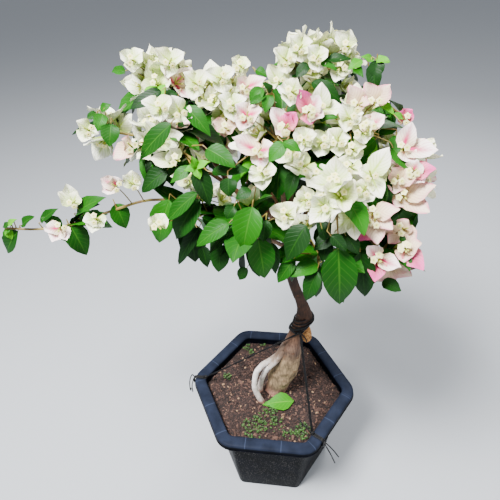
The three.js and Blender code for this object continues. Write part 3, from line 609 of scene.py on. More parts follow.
# crossing turns below the winding and over it, by height, tilt and lift off the bark, and then the knot
for turn_z, tilt, lift in ((402, 3, 2.6), (399, -4, 2.8), (396, 2, 2.4)):
    cord_tube(lashing, turn_round(25, lambda a: off_bark(KNOT_FACING + a, turn_z + tilt * math.cos(a), lift)))
for turn_z, tilt, lift in ((410, 15, 3.2), (413, 15, 3.4)):
    cord_tube(lashing, turn_round(25, lambda a: off_bark(a, turn_z + tilt * math.cos(a), lift)))
for spin in (0.3, 1.4, 2.5):
    across = np.array([math.cos(spin) * 0.9, -0.15, math.sin(spin)])
    other = np.array([-0.1, -0.9, 0.2])
    loop = turn_round(17, lambda a: knot_at + across * 5 * math.cos(a) + other * 2.6 * math.sin(a))
    cord_tube(lashing, loop, step=1.6)
cord_tube(lashing, [knot_at, knot_at + (7, -4, -4), knot_at + (12, -5, -12), knot_at + (13, -3, -20)])

GUYS = {  # facing, offset beside it, distance of the rim's outer face, strands
    "guy_left": (math.pi, 0, 173.8, 2),
    "guy_right": (-math.pi / 6, -54, RIM_CORNER * COS30, 3),
}
TWIST, STRAND_GAP = 22, 0.45  # radians from end to end, and mm off the middle for each strand
guys = Heap()
hooks = {name: hook(*guy[:3]) for name, guy in GUYS.items()}
for name, (facing, _, _, strands) in GUYS.items():
    run = hooks[name]
    start = knot_at + (run[0] - knot_at) * 5 / np.linalg.norm(run[0] - knot_at)
    side = unit(np.cross(run[0] - start, (0, 0, 1)))
    for strand in range(strands):
        taut = []
        for t in np.linspace(0, 0.97, 40):
            turn = strand * 2 * math.pi / strands + t * TWIST
            apart = side * math.cos(turn) + np.array([0, 0, 1]) * math.sin(turn)
            taut.append(start + (run[0] - start) * t + apart * STRAND_GAP * strands)
        cord_tube(guys, taut + run, sides=6)
    out, beside = outward(facing)
    for shift in (-2.6, 2.6):
        before = run[0] + (run[0] - run[1]) * 0.2 + beside * shift * 0.4 + (0, 0, 1)
        cord_tube(guys, [before] + [point + beside * shift for point in run[:-1]])
    hitch = run[0] + (0, 0, 2)
    for spin in (0.4, 1.6, 2.6):
        across = (out * math.cos(spin) + beside * math.sin(spin)) * 4
        loop = turn_round(15, lambda a: hitch + across * math.cos(a) + np.array([0, 0, 2.2]) * math.sin(a))
        cord_tube(guys, loop, step=1.6)

# loose ends: a loop and an end outside the left corner, and three ends by the right hitch
LOOSE_ENDS = [  # guy, point of its hook, and steps away from there
    ("guy_left", 3, [(0, 2, 0), (-7, 7, 0), (-11, -2, -10), (-9, -14, -22), (-4, -24, -14), (-2, -26, -4)]),
    ("guy_left", 3, [(-1, -2, 0), (-4, -12, -14), (-3, -16, -30)]),
    ("guy_right", 3, [(0, 0, 0), (9, -6, -2), (20, -9, -14), (30, -10, -31)]),
    ("guy_right", 3, [(0, 0, 0), (5, -8, -4), (14, -15, -17), (23, -19, -38)]),
    ("guy_right", 0, [(0, 0, 0), (-8, 6, 3), (-20, 16, 6), (-29, 26, 10)]),
]
for name, point, steps in LOOSE_ENDS:
    cord_tube(guys, [hooks[name][point] + step for step in steps])

# twine: near-black plastic with a dull gleam, its strands laid 3 mm apart along it
twine = finish("twisted_twine", 0.5, "0a0a0c", Specular_IOR_Level=0.25)
flat = add(twine, "SeparateXYZ", [add(twine, "TexCoord", out="UV")]).node.outputs
laid = add(twine, "Math", [flat["Y"], 330.0], operation="MULTIPLY")
twisted = add(twine, "Math", [flat["X"], laid], operation="ADD")
strand = add(twine, "Math", [twisted, 0.5], operation="PINGPONG")
add(twine, "Bump", {"Height": strand, "Strength": 0.6, "Distance": 0.0008}, to="Normal")
lashing.gather("trunk_lashing", twine, "cord", ["binding", "knot"])
guys.gather("guy_lines", twine, "cord", ["guy_left", "guy_right"])

# Boughs. Young limbs that fork from the top of the trunk, each one tapering arch that ends where it
# enters its mass of foliage.
MASSES = [  # name, middle, reach, limb it springs from, how far along, arch, bloom, sprays, seed
    ("left", (-150, -45, 795), (72, 66, 66), "trunk", 0.88, 0.02, 0.62, 70, 3),
    ("upper_left", (-178, 62, 838), (70, 66, 64), "left", 0.6, 0.06, 0.8, 55, 12),
    ("left_tip", (-246, -2, 790), (60, 56, 50), "upper_left", 0.5, 0.04, 0.35, 36, 18),
    ("lower_left", (-105, -95, 700), (82, 76, 68), "left", 0.38, 0.1, 0.05, 60, 25),
    ("side_shoot", (-205, -26, 683), (62, 58, 56), "left", 0.5, 0, 0.4, 55, 97),
    ("top_left", (-80, 40, 812), (66, 68, 72), "trunk", 0.95, 0.04, 0.85, 60, 28),
    ("middle", (14, -50, 800), (72, 72, 78), "trunk", 0.99, 0, 0.6, 70, 30),
    ("top_right", (62, 104, 850), (84, 70, 70), "trunk", 0.9, 0.03, 0.75, 64, 34),
    ("right", (182, -14, 735), (66, 76, 78), "trunk", 0.8, 0.05, 0.8, 62, 49),
    ("right_top", (112, -10, 800), (70, 70, 66), "right", 0.5, 0.02, 0.85, 62, 43),
    ("front_right", (98, -108, 752), (68, 70, 66), "trunk", 0.7, 0.03, 0.8, 60, 48),
    ("lower_right", (168, -84, 645), (66, 62, 62), "right", 0.6, 0.12, 0.6, 60, 65),
    ("lower_front", (78, -116, 655), (78, 78, 68), "front_right", 0.45, 0.1, 0.08, 64, 79),
    ("lower_middle", (-18, -122, 698), (78, 74, 70), "trunk", 0.55, 0.05, 0.12, 76, 69),
    ("right_shoot", (150, 62, 822), (62, 62, 76), "top_right", 0.55, 0.04, 0.04, 50, 69),
    ("back_left", (-118, 132, 742), (80, 76, 76), "trunk", 0.66, 0.06, 0.5, 36, 83),
    ("back", (-6, 172, 766), (78, 70, 76), "trunk", 0.76, 0.05, 0.55, 44, 81),
    ("back_right", (120, 124, 724), (84, 78, 78), "trunk", 0.58, 0.06, 0.55, 44, 93),
    ("lower_back", (8, 96, 650), (92, 80, 62), "back_right", 0.3, 0.08, 0, 40, 91),
]
SHOOT_HEARTS = [(-205, -26, 683), (-268, -31, 662), (-330, -38, 641), (-392, -41, 631), (-452, -42, 631)]
FORKS_FROM, TRUNK_TOP = 500, 648
TIP_RADIUS, BOUGH_TAPER = 2.6, 0.012  # a bough is thicker by this share of its length at its foot
ENDS_AT, LEAST_RUN = 0.72, 0.3  # the share of its mass's reach, and of the way to its heart
limbs = {"trunk": np.array(TRUNK, float)}


def limb_at(name, along):
    """A point part of the way along a limb, with the radius there."""
    if name == "trunk":
        return trunk_at(FORKS_FROM + (TRUNK_TOP - FORKS_FROM) * along)
    stations = limbs[name]
    spot = along * (len(stations) - 1)
    i = min(int(spot), len(stations) - 2)
    return stations[i] + (stations[i + 1] - stations[i]) * (spot - i)


def bough_stations(middle, reach, parent, along, arch, steps=4):
    """A bough's tapering arch, from the limb it springs from to just inside its mass."""
    foot = limb_at(parent, along)[:3]
    share = max(1 - ENDS_AT / np.linalg.norm((foot - middle) / reach), LEAST_RUN)
    tip = foot + (middle - foot) * share
    length = np.linalg.norm(tip - foot)
    bend = (foot + tip) / 2 + (0, 0, length * arch)
    return np.array([[*((1 - t) ** 2 * foot + 2 * t * (1 - t) * bend + t ** 2 * tip),
                      TIP_RADIUS + (1 - t) * length * BOUGH_TAPER] for t in np.arange(steps + 1) / steps])


def stem_stations(name, hearts):
    """The stem of a mass carries on from its bough's tip and runs in through its hearts."""
    before, tip = limbs[name][-2:, :3]
    along = unit(tip - before)
    points = [tip + along * 0.3, tip + along * 8, *hearts]
    return np.array([[*p, TIP_RADIUS - 0.6 * i / (len(points) - 1)] for i, p in enumerate(points)])


# young bark: red-brown, mottled tan and dark every 7 mm or so, and slightly rough
young = finish("young_bough_bark", 0.75)
mottle = add(young, "TexNoise", {"Vector": add(young, "TexCoord", out="Object"), "Scale": 140, "Detail": 5})
add(young, "ValToRGB", [mottle], {0.3: "4a2d1a", 0.55: "6e4b2c", 0.75: "9a7a52"}, to="Base Color")
add(young, "Bump", {"Height": mottle, "Strength": 0.6, "Distance": 0.0008}, to="Normal")

BOUGH_SIDES = 12
boughs = Heap()
spaces = {}
for name, middle, reach, parent, along, arch, *_ in MASSES:
    hearts = np.array(SHOOT_HEARTS if name == "side_shoot" else [middle], float)
    middle, reach = np.array(middle, float), np.array(reach, float)
    spaces[name] = (hearts, reach, float(np.cbrt(np.prod(reach))))
    limbs[name] = bough_stations(middle, reach, parent, along, arch)
    limbs[name + " stem"] = stem_stations(name, hearts)
    finer = bough_stations(middle, reach, parent, along, arch, steps=16)
    rings = np.array(tube_rings(finer, BOUGH_SIDES, lambda x, y, z: 0.35 * lumps(x, y, z, 5)))
    boughs.drop(rings.reshape(-1, 3), tube_faces(len(rings), BOUGH_SIDES), 0.5)
boughs.gather("bough_bark", young, "bough", ["bough_" + name for name in spaces])

# Growth. Each mass sends sprays out from its hearts by a seeded rule: a spray is a twig that ends in
# a bloom or carries leaves, and it stays in its mass's own space and clear of the limbs.
GOLDEN_TURN = 2.399963


def dice(seed):
    """The same run of numbers from 0 to 1 for the same seed."""
    state = seed * 7919 + 104729

    def roll():
        nonlocal state
        state = state * 16807 % 2147483647
        return state / 2147483647

    roll()
    return roll


def fanned(axis, spread, angle):
    """A direction tipped away from an axis towards one side, and the face that looks back at it."""
    flat = np.array([-axis[1], axis[0], 0.0])
    flat = unit(flat) if np.linalg.norm(flat) > 0.01 else np.array([1.0, 0, 0])
    side = flat * math.cos(angle) + np.cross(axis, flat) * math.sin(angle)
    out = axis * math.cos(spread) + side * math.sin(spread)
    return out, axis * math.sin(spread) - side * math.cos(spread)


def nearest(hearts, points):
    """How far each point is from the nearest of a mass's hearts."""
    return np.min(np.linalg.norm(points[:, None] - hearts, axis=2), axis=1)


def share_of_reach(points, name):
    """How far out in a mass's ellipsoids points lie, from 0 at a heart to 1 at the surface."""
    hearts, reach, _ = spaces[name]
    return np.min(np.linalg.norm((points[:, None] - hearts) / reach, axis=2), axis=1)


def in_space(points, name):
    """Inside a mass's ellipsoids and on its side of the planes between it and the others."""
    hearts, _, size = spaces[name]
    own = nearest(hearts, points) ** 2 - size ** 2
    inside = share_of_reach(points, name) <= 1
    for other, (theirs, _, their_size) in spaces.items():
        if other != name:
            apart = np.min(nearest(hearts, theirs))
            inside &= own + apart < nearest(theirs, points) ** 2 - their_size ** 2
    return inside


def depth_in_crown(points):
    """The least share of any mass's reach, which is 1 at the crown's surface."""
    return np.min([share_of_reach(points, name) for name in spaces], axis=0)


def in_crown(points):
    return depth_in_crown(points) <= 1


CLEARANCE = 2
segments = [(a, b, name) for name, stations in limbs.items() for a, b in zip(stations, stations[1:])]
starts = np.array([a[:3] for a, _, _ in segments])
ends = np.array([b[:3] for _, b, _ in segments])
keeps = np.array([max(a[3], b[3]) + CLEARANCE for a, b, _ in segments])
owners = np.array([name for _, _, name in segments])


def clear_of_limbs(points, name):
    """True where no point comes nearer to a limb, other than the mass's own stem, than it may."""
    use = owners != name + " stem"
    a, ab = starts[use], (ends - starts)[use]
    t = np.clip(np.einsum("psk,sk->ps", points[:, None] - a, ab) / np.sum(ab * ab, axis=1), 0, 1)
    gap = np.linalg.norm(points[:, None] - (a + t[..., None] * ab), axis=2)
    return bool(np.all(gap > keeps[use]))


def nearest_on(a, b, point, back, low, high):
    """The nearest place on any of some segments, moved back along it by a share and kept in bounds."""
    along = np.einsum("sk,sk->s", point - a, b - a) / np.sum((b - a) ** 2, axis=1)
    spots = a + np.clip(along - back, low, high)[:, None] * (b - a)
    return spots[np.argmin(np.linalg.norm(spots - point, axis=1))]


WIDEST, RAISED, CURLED = 0.42, 0.28, 0.1  # where along a blade, of its half width, of its length
LEAF_BREADTH, BRACT_BREADTH = 0.3, 0.38  # half a blade's width, as a share of its length


def blade_corners(root, out, face, length, half):
    """A blade's two widest places and its tip, by which it is kept in its space."""
    side, middle = np.cross(face, out), root + out * length * WIDEST
    return [middle + side * half + face * half * RAISED, middle - side * half + face * half * RAISED,
            root + out * length - face * length * CURLED]


def leaf_corners(root, out, face, length):
    return np.array([root, *blade_corners(root, out, face, length, length * LEAF_BREADTH)])


def hang(way, spread, angle, droop):
    """A leaf's direction, drooping, and its upper face, turned to the sky."""
    out, _ = fanned(way, spread, angle)
    out = unit(out - (0, 0, droop))
    face = np.array([0, 0, 1.0]) - out * out[2]
    if np.linalg.norm(face) < 0.3:
        face = face + way - out * out.dot(way)
    return out, unit(face)


class Taken:
    """Places that are taken up, which later blades keep away from."""

    def __init__(self):
        self.points = np.full((1, 3), -1e4)

    def take(self, points):
        self.points = np.concatenate([self.points, points])

    def free(self, points, gap):
        """True where every point is further than a gap from all that is taken."""
        apart = np.linalg.norm(points[:, None] - self.points, axis=2)
        return bool(np.min(apart) > gap)


blooms, leaves, twigs = [], [], []
bloom_hearts, bract_edges, leaf_middles, leaf_edges = Taken(), Taken(), Taken(), Taken()
BLOOM_OFF_LEAF, LEAF_OFF_LEAF, LEAF_OFF_HEART, LEAF_OFF_BRACT = 10, 7, 15, 6
SPACED_LENGTH = 60  # the length of leaf that the leaves' spacing is given for


def set_bloom(tip, axis, spread, length, angle, name, test, spacing):
    """Sets a bloom of three bracts where the mass's space, the limbs and what has grown leave room."""
    corners = []
    for bract in range(3):
        out, face = fanned(axis, spread, angle + bract * math.pi * 2 / 3)
        corners += blade_corners(tip, out, face, length, length * BRACT_BREADTH)
    heart = tip + axis * length * 0.4
    corners = np.array(corners)
    if not np.all(test(corners)) or not clear_of_limbs(corners, name):
        return False
    if not bloom_hearts.free(heart[None], spacing):
        return False
    if not leaf_edges.free(np.array([*corners, heart]), BLOOM_OFF_LEAF):
        return False
    blooms.append((tip, axis, spread, length, angle))
    bloom_hearts.take([heart])
    bract_edges.take(corners)
    return True


def take_leaf(root, out, face, length, half=None, kind=None):
    """Takes up a leaf's place, for a leaf that is made later."""
    leaves.append((root, out, face, length, half, kind))
    leaf_middles.take([root + out * length * 0.5])
    leaf_edges.take([*leaf_corners(root, out, face, length), root + out * length * 0.35,
                     root + out * length * 0.7])


def set_leaf(root, out, face, length, name, test, spacing):
    """Sets a leaf where the mass's space, the limbs and what has grown leave room."""
    corners = leaf_corners(root, out, face, length)
    centre = root + out * length * 0.5
    blade_spots = np.array([*corners[1:], centre])
    if not np.all(test(corners)) or not clear_of_limbs(corners, name):
        return False
    if not leaf_middles.free(centre[None], spacing * length / SPACED_LENGTH):
        return False
    if not leaf_edges.free(blade_spots, LEAF_OFF_LEAF) or not bloom_hearts.free(blade_spots, LEAF_OFF_HEART):
        return False
    if not bract_edges.free(corners[1:], LEAF_OFF_BRACT):
        return False
    take_leaf(root, out, face, length)
    return True


def add_twig(foot, tip, thick, sides=5):
    """A slightly arched twig that tapers to its tip."""
    middle = (foot + tip) / 2 + (0, 0, 0.05 * np.linalg.norm(tip - foot))
    twigs.append((np.array([[*foot, thick], [*middle, thick * 0.85], [*tip, thick * 0.65]]), sides))


# Leaves and blooms that the photograph shows one by one, read from it. A twig and a stalk join
# each to the nearest bough. Large leaves stand out from the crown: they have the pixels of their foot
# and tip, how far along Y both lie in mm, and their width in pixels.
LARGE_LEAVES = {
    "leaves_mid": [
        ((171, 124), (135, 159), -92, -104, 21), ((185, 106), (211, 135), -50, -70, 17),
        ((207, 149), (235, 165), -98, -118, 21), ((192, 167), (169, 182), -112, -126, 13),
        ((197, 193), (163, 222), -128, -142, 17), ((169, 200), (157, 245), -112, -126, 27),
        ((229, 223), (194, 245), -150, -166, 21), ((252, 207), (242, 251), -152, -176, 31),
        ((258, 239), (266, 281), -150, -168, 28), ((294, 259), (277, 283), -140, -154, 16),
        ((318, 264), (289, 275), -140, -156, 18), ((338, 249), (341, 310), -158, -180, 36),
        ((358, 122), (366, 137), -10, -20, 15), ((375, 140), (358, 158), -46, -56, 15),
        ((285, 143), (268, 162), -110, -122, 17), ((283, 142), (302, 152), -110, -120, 11),
        ((262, 88), (250, 104), -50, -62, 14), ((115, 204), (127, 229), -26, -36, 19),
        ((77, 213), (102, 196), -40, -46, 16), ((69, 224), (88, 256), -38, -48, 22),
        ((62, 227), (41, 217), -42, -48, 12), ((41, 222), (54, 208), -44, -48, 10),
        ((22, 225), (33, 216), -42, -46, 10), ((18, 231), (2, 254), -40, -48, 18),
        ((11, 224), (2, 227), -42, -44, 6), ((10, 228), (3, 236), -42, -46, 6),
    ],
    # leaves that show dark: partly their own deep green and partly painted shade under the crown
    "leaves_dark": [
        ((161, 91), (129, 109), -30, -46, 15), ((177, 93), (163, 102), -20, -30, 12),
        ((167, 170), (140, 192), -96, -108, 20), ((196, 168), (211, 206), -116, -134, 20),
        ((212, 172), (250, 168), -96, -106, 15), ((199, 199), (174, 240), -120, -136, 27),
        ((234, 206), (226, 219), -138, -146, 14), ((222, 245), (218, 273), -134, -150, 20),
        ((202, 246), (208, 268), -124, -138, 13), ((199, 228), (175, 266), -122, -136, 15),
        ((306, 225), (285, 261), -140, -160, 26), ((317, 271), (305, 302), -148, -164, 18),
        ((360, 252), (366, 299), -132, -150, 24), ((272, 243), (276, 275), -136, -148, 13),
        ((266, 220), (263, 242), -142, -156, 16), ((251, 190), (235, 198), -128, -138, 13),
        ((228, 178), (229, 197), -118, -130, 18), ((322, 229), (326, 241), -140, -148, 11),
        ((247, 268), (238, 280), -132, -140, 12), ((382, 282), (402, 290), -128, -138, 14),
        ((333, 234), (313, 250), -134, -146, 16), ((346, 236), (360, 254), -132, -146, 15),
        ((328, 240), (322, 262), -130, -146, 15), ((331, 236), (347, 251), -160, -172, 14),
    ],
    "leaves_lime": [
        ((196, 168), (192, 157), -118, -122, 9), ((197, 168), (208, 161), -118, -124, 9),
        ((196, 169), (200, 179), -119, -127, 9), ((195, 168), (184, 170), -118, -124, 8),
        ((8, 226), (16, 219), -43, -45, 6), ((7, 229), (12, 240), -43, -48, 7),
    ],
}
FRONT_LEAVES = {  # smaller leaves on the crown's surface: pixels of foot and tip, width in pixels
    "leaves_mid": [
        ((397, 127), (376, 135), 11), ((396, 136), (394, 153), 12), ((393, 148), (408, 170), 14),
        ((320, 61), (337, 69), 8), ((266, 95), (249, 104), 8), ((270, 95), (265, 112), 12),
        ((320, 120), (338, 116), 7), ((405, 254), (410, 271), 9), ((401, 236), (406, 246), 6),
        ((256, 70), (267, 76), 9), ((103, 114), (97, 131), 13), ((111, 124), (109, 146), 18),
        ((101, 111), (110, 104), 9), ((96, 113), (87, 118), 8), ((125, 71), (112, 71), 10),
    ],
    # leaves that show dark: partly their own deep green and partly painted shade under the crown
    "leaves_dark": [
        ((388, 175), (392, 203), 5), ((372, 64), (376, 92), 14), ((377, 61), (376, 79), 14),
        ((312, 82), (343, 100), 15), ((326, 60), (352, 57), 9), ((308, 64), (296, 77), 12),
        ((271, 92), (264, 82), 8), ((295, 172), (287, 200), 14),
        ((323, 213), (322, 237), 13),
    ],
    "leaves_lime": [
        ((362, 60), (348, 69), 10), ((374, 60), (361, 56), 7), ((376, 59), (390, 61), 8),
        ((382, 104), (394, 113), 8), ((403, 118), (393, 113), 6),
    ],
}
FRONT_BLOOMS = {  # blooms on the crown's and the side shoot's surface: pixels of foot and bracts' tips
    "bracts_white": [
        ((371, 175), (389, 147), (382, 198), (360, 168)), ((352, 215), (331, 234), (356, 240), (365, 202)),
        ((320, 110), (322, 82), (344, 106), (309, 97)), ((341, 67), (342, 53), (352, 73), (335, 82)),
        ((293, 152), (272, 158), (304, 146), (297, 168)), ((325, 205), (308, 214), (332, 222), (331, 190)),
        ((286, 214), (270, 208), (283, 230), (297, 204)), ((262, 172), (249, 180), (262, 190), (276, 168)),
        ((205, 160), (187, 146), (208, 148)), ((190, 180), (170, 176), (186, 190)),
        ((176, 160), (150, 158), (170, 148)), ((221, 78), (206, 70), (234, 68), (224, 94)),
        ((232, 105), (218, 96), (246, 98), (234, 122)), ((196, 84), (184, 72), (205, 70), (192, 100)),
        ((240, 66), (232, 58), (250, 62), (241, 76)), ((170, 62), (156, 48), (184, 52), (168, 78)),
        ((132, 60), (120, 52), (143, 50), (134, 72)), ((160, 108), (142, 100), (170, 96), (160, 122)),
        ((180, 112), (172, 96), (192, 118), (166, 120)), ((350, 119), (343, 104), (363, 113), (346, 132)),
        ((362, 131), (357, 115), (373, 120), (366, 143)), ((338, 141), (329, 129), (350, 138), (340, 156)),
        ((352, 149), (366, 146), (356, 163), (342, 151)), ((350, 167), (338, 159), (361, 172), (345, 178)),
        ((341, 178), (331, 171), (343, 194), (351, 171)), ((364, 190), (352, 200), (373, 201), (367, 178)),
        ((305, 166), (284, 165), (296, 151), (311, 177)), ((318, 176), (307, 186), (330, 168), (323, 191)),
        ((306, 200), (296, 212), (319, 206), (303, 186)), ((326, 196), (317, 186), (339, 191), (330, 209)),
        ((322, 142), (310, 133), (334, 138), (318, 157)), ((304, 140), (296, 128), (316, 133), (301, 153)),
        ((347, 46), (350, 29), (336, 31), (356, 44)), ((286, 60), (274, 48), (298, 52), (287, 74)),
        ((300, 48), (290, 36), (312, 42), (302, 62)), ((317, 58), (308, 46), (328, 50), (318, 72)),
        ((279, 82), (269, 64), (288, 68), (268, 84)), ((292, 92), (280, 86), (297, 78), (290, 106)),
        ((73, 203), (58, 192), (66, 184), (77, 191)), ((133, 184), (122, 176), (132, 171), (141, 184)),
        ((96, 219), (83, 221), (92, 233), (104, 226)), ((88, 130), (77, 121), (82, 142), (98, 134)),
        ((158, 226), (150, 217), (165, 214)),
    ],
    "bracts_blush": [
        ((398, 179), (418, 176), (395, 194), (392, 168)), ((403, 196), (430, 212), (436, 185), (396, 208)),
        ((373, 213), (393, 229), (400, 209), (371, 228)), ((374, 222), (378, 244)),
        ((403, 229), (388, 243), (409, 220), (416, 240)), ((405, 248), (422, 243), (404, 262)),
        ((358, 105), (350, 85), (369, 101), (348, 108)), ((225, 128), (212, 122), (238, 126), (226, 136)),
        ((131, 146), (113, 158), (122, 140)), ((375, 103), (390, 84), (366, 82)),
    ],
    "bracts_streaked": [
        ((403, 148), (438, 148), (412, 122), (414, 161)), ((413, 172), (424, 182), (418, 160)),
        ((378, 259), (401, 266), (368, 246)), ((309, 112), (318, 95), (324, 116)),
        ((285, 128), (276, 134), (272, 107)), ((369, 127), (384, 115), (360, 118)),
        ((60, 228), (44, 228), (52, 242), (67, 240)), ((116, 186), (101, 178), (102, 191), (113, 177)),
        ((246, 88), (265, 77), (238, 78), (252, 98)), ((247, 116), (236, 104), (262, 109), (240, 130)),
        ((259, 151), (232, 137), (276, 146), (262, 168)),
    ],
    "bracts_pink": [
        ((413, 172), (436, 168)), ((378, 259), (375, 282)), ((405, 248), (424, 270)),
        ((309, 112), (299, 89), (312, 124)), ((285, 128), (290, 114), (296, 112)),
        ((370, 228), (358, 241)), ((405, 119), (412, 110), (400, 112)),
    ],
}


def sight(column, row):
    """The way from the eye to what shows at a pixel of the photograph."""
    across, up = column - PHOTO_SIZE / 2, PHOTO_SIZE / 2 - row
    return unit(np.array(ahead * PHOTO_FOCAL + right * across + top * up))


def seen(pixel, forward):
    """The point, at a given place along Y, that shows at a pixel of the photograph."""
    ray = sight(*pixel)
    return EYE + ray * (forward - EYE[1]) / ray[1]


SURFACE = 0.86  # the depth in the crown at which its outermost leaves and blooms are set
NEAR, FAR = 600, 1500  # how far from the eye the crown begins and ends


def enters(pixel):
    """Where the sight line of a pixel enters the crown, or else where it passes nearest to it."""
    line = EYE + sight(*pixel) * np.arange(NEAR, FAR + 1, 2)[:, None]
    depth = depth_in_crown(line)
    inside = np.flatnonzero(depth < SURFACE)
    return line[inside[0] if len(inside) else np.argmin(depth)]


def beside(pixel, point, nearer):
    """The point that shows at a pixel, nearer to the camera than another point."""
    return EYE + sight(*pixel) * (np.linalg.norm(point - EYE) - nearer)


def facing_camera(root, out):
    """The face of a blade that is turned to the camera and a little to the sky."""
    facing = unit(EYE - root) * 0.6 + (0, 0, 0.5)
    return unit(facing - out * out.dot(facing))


def nearest_wood(point):
    """The nearest place on the middle line of a bough or stem."""
    use = owners != "trunk"
    return nearest_on(starts[use], ends[use], point, 0, 0.05, 0.95)


BEFORE_LEAF, BEFORE_BRACT = (0, 14, 28), (12, 26)  # towards the camera, in mm
SPOTS_ALONG, SPOTS_ACROSS = (0.15, 0.35, 0.55, 0.75, 0.9), (-0.6, 0, 0.6)  # of a blade


def hold_open(root, out, face, length, half, before):
    """Keeps a blade's own place, and some way before it, free of what grows later."""
    side = np.cross(face, out)
    spots = np.array([root + out * length * along + side * half * across
                      for along in SPOTS_ALONG for across in SPOTS_ACROSS])
    towards = EYE - spots
    towards /= np.linalg.norm(towards, axis=1)[:, None]
    leaf_edges.take(np.concatenate([spots + towards * step for step in before]))


LEAF_STALK = 7


def seen_leaf(root, tip, width, kind):
    """A leaf that the photograph shows, and its stalk."""
    out, length = unit(tip - root), np.linalg.norm(tip - root)
    half = width / 2 * np.linalg.norm(root - EYE) / PHOTO_FOCAL
    face = facing_camera(root, out)
    take_leaf(root, out, face, length, half, kind)
    hold_open(root, out, face, length, half, BEFORE_LEAF)
    stalk = root - out * LEAF_STALK + (0, 0, 2)
    add_twig(stalk, root, 0.8, 4)
    add_twig(nearest_wood(stalk), stalk, 1.2)


TIP_NEARER, BRACT_NEARER = 8, 9  # how much nearer to the eye a blade's tip is than its foot
BRACT_HALF, LEAST_HALF = 0.37, 13
for kind, table in LARGE_LEAVES.items():
    for foot_pixel, tip_pixel, foot_forward, tip_forward, width in table:
        seen_leaf(seen(foot_pixel, foot_forward), seen(tip_pixel, tip_forward), width, kind)
for kind, table in FRONT_LEAVES.items():
    for foot_pixel, tip_pixel, width in table:
        root = enters(foot_pixel)
        seen_leaf(root, beside(tip_pixel, root, TIP_NEARER), width, kind)
front_bracts, front_hearts = [], []
for kind, table in FRONT_BLOOMS.items():
    for foot_pixel, *tip_pixels in table:
        root = enters(foot_pixel)
        for tip_pixel in tip_pixels:
            tip = beside(tip_pixel, root, BRACT_NEARER)
            out, length = unit(tip - root), np.linalg.norm(tip - root)
            face = facing_camera(root, out)
            front_bracts.append((root, out, face, length, max(length * BRACT_HALF, LEAST_HALF), kind))
            bract_edges.take(leaf_corners(root, out, face, length))
            bloom_hearts.take([root + out * length * 0.5])
            hold_open(root, out, face, length, 0, BEFORE_BRACT)
        front_hearts.append(root)
        add_twig(nearest_wood(root), root, 1.1)

# beyond the right shoot the photograph shows sky, so its sight lines stay open there
SKY_COLUMNS, SKY_ROWS = range(386, 420, 7), range(66, 94, 7)
SKY_STEPS = np.arange(700, 1201, 10)[:, None]  # away from the eye, in mm
for column in SKY_COLUMNS:
    for row in SKY_ROWS:
        leaf_edges.take(EYE + sight(column, row) * SKY_STEPS)

# Sprays. All that the photograph doesn't show grows by the rule: first the main sprays, drawn as the
# solid masses are, and then finer ones that branch from those and fill the crown.
PASSES = [  # added to the seed, shares of the way out, bloom size, its range and spacing, twig radius
    (0, (1, 0.85, 0.7, 0.5), 36, 9, 27, 1.4),
    (1000, (1, 0.88, 0.76, 0.64, 0.5), 28, 14, 22, 1.0),
]
SPARSE = {"side_shoot": (55, 0), "left_tip": (36, 20), "right_shoot": (50, 30)}  # main and finer sprays
MORE_ON_TOP, LESS_WHEN_FINE = 0.4, 0.12  # of the sprays that flower
BLOOM_DEPTH, LEAF_DEPTH = 30, 0.85  # under the surface in mm, and as a share of the leaf's length
LEAST_TWIG, UPTURN = 4, 0.45
LEAFY_BELOW, FINER, LEAFY_FINER = 0.2, 2.4, 1.2  # the share in bloom, and finer sprays to a main one
LEAST_LENGTH, FINE_LENGTH, LENGTH_RANGE = 54, 44, 30
LEAF_SPACING, LEAFY_SPACING = 14, 19
DROOP, FINE_DROOP = 0.45, 0.9
NODE_SHARE = 0.3  # of the twig, between a leaf and the next one down

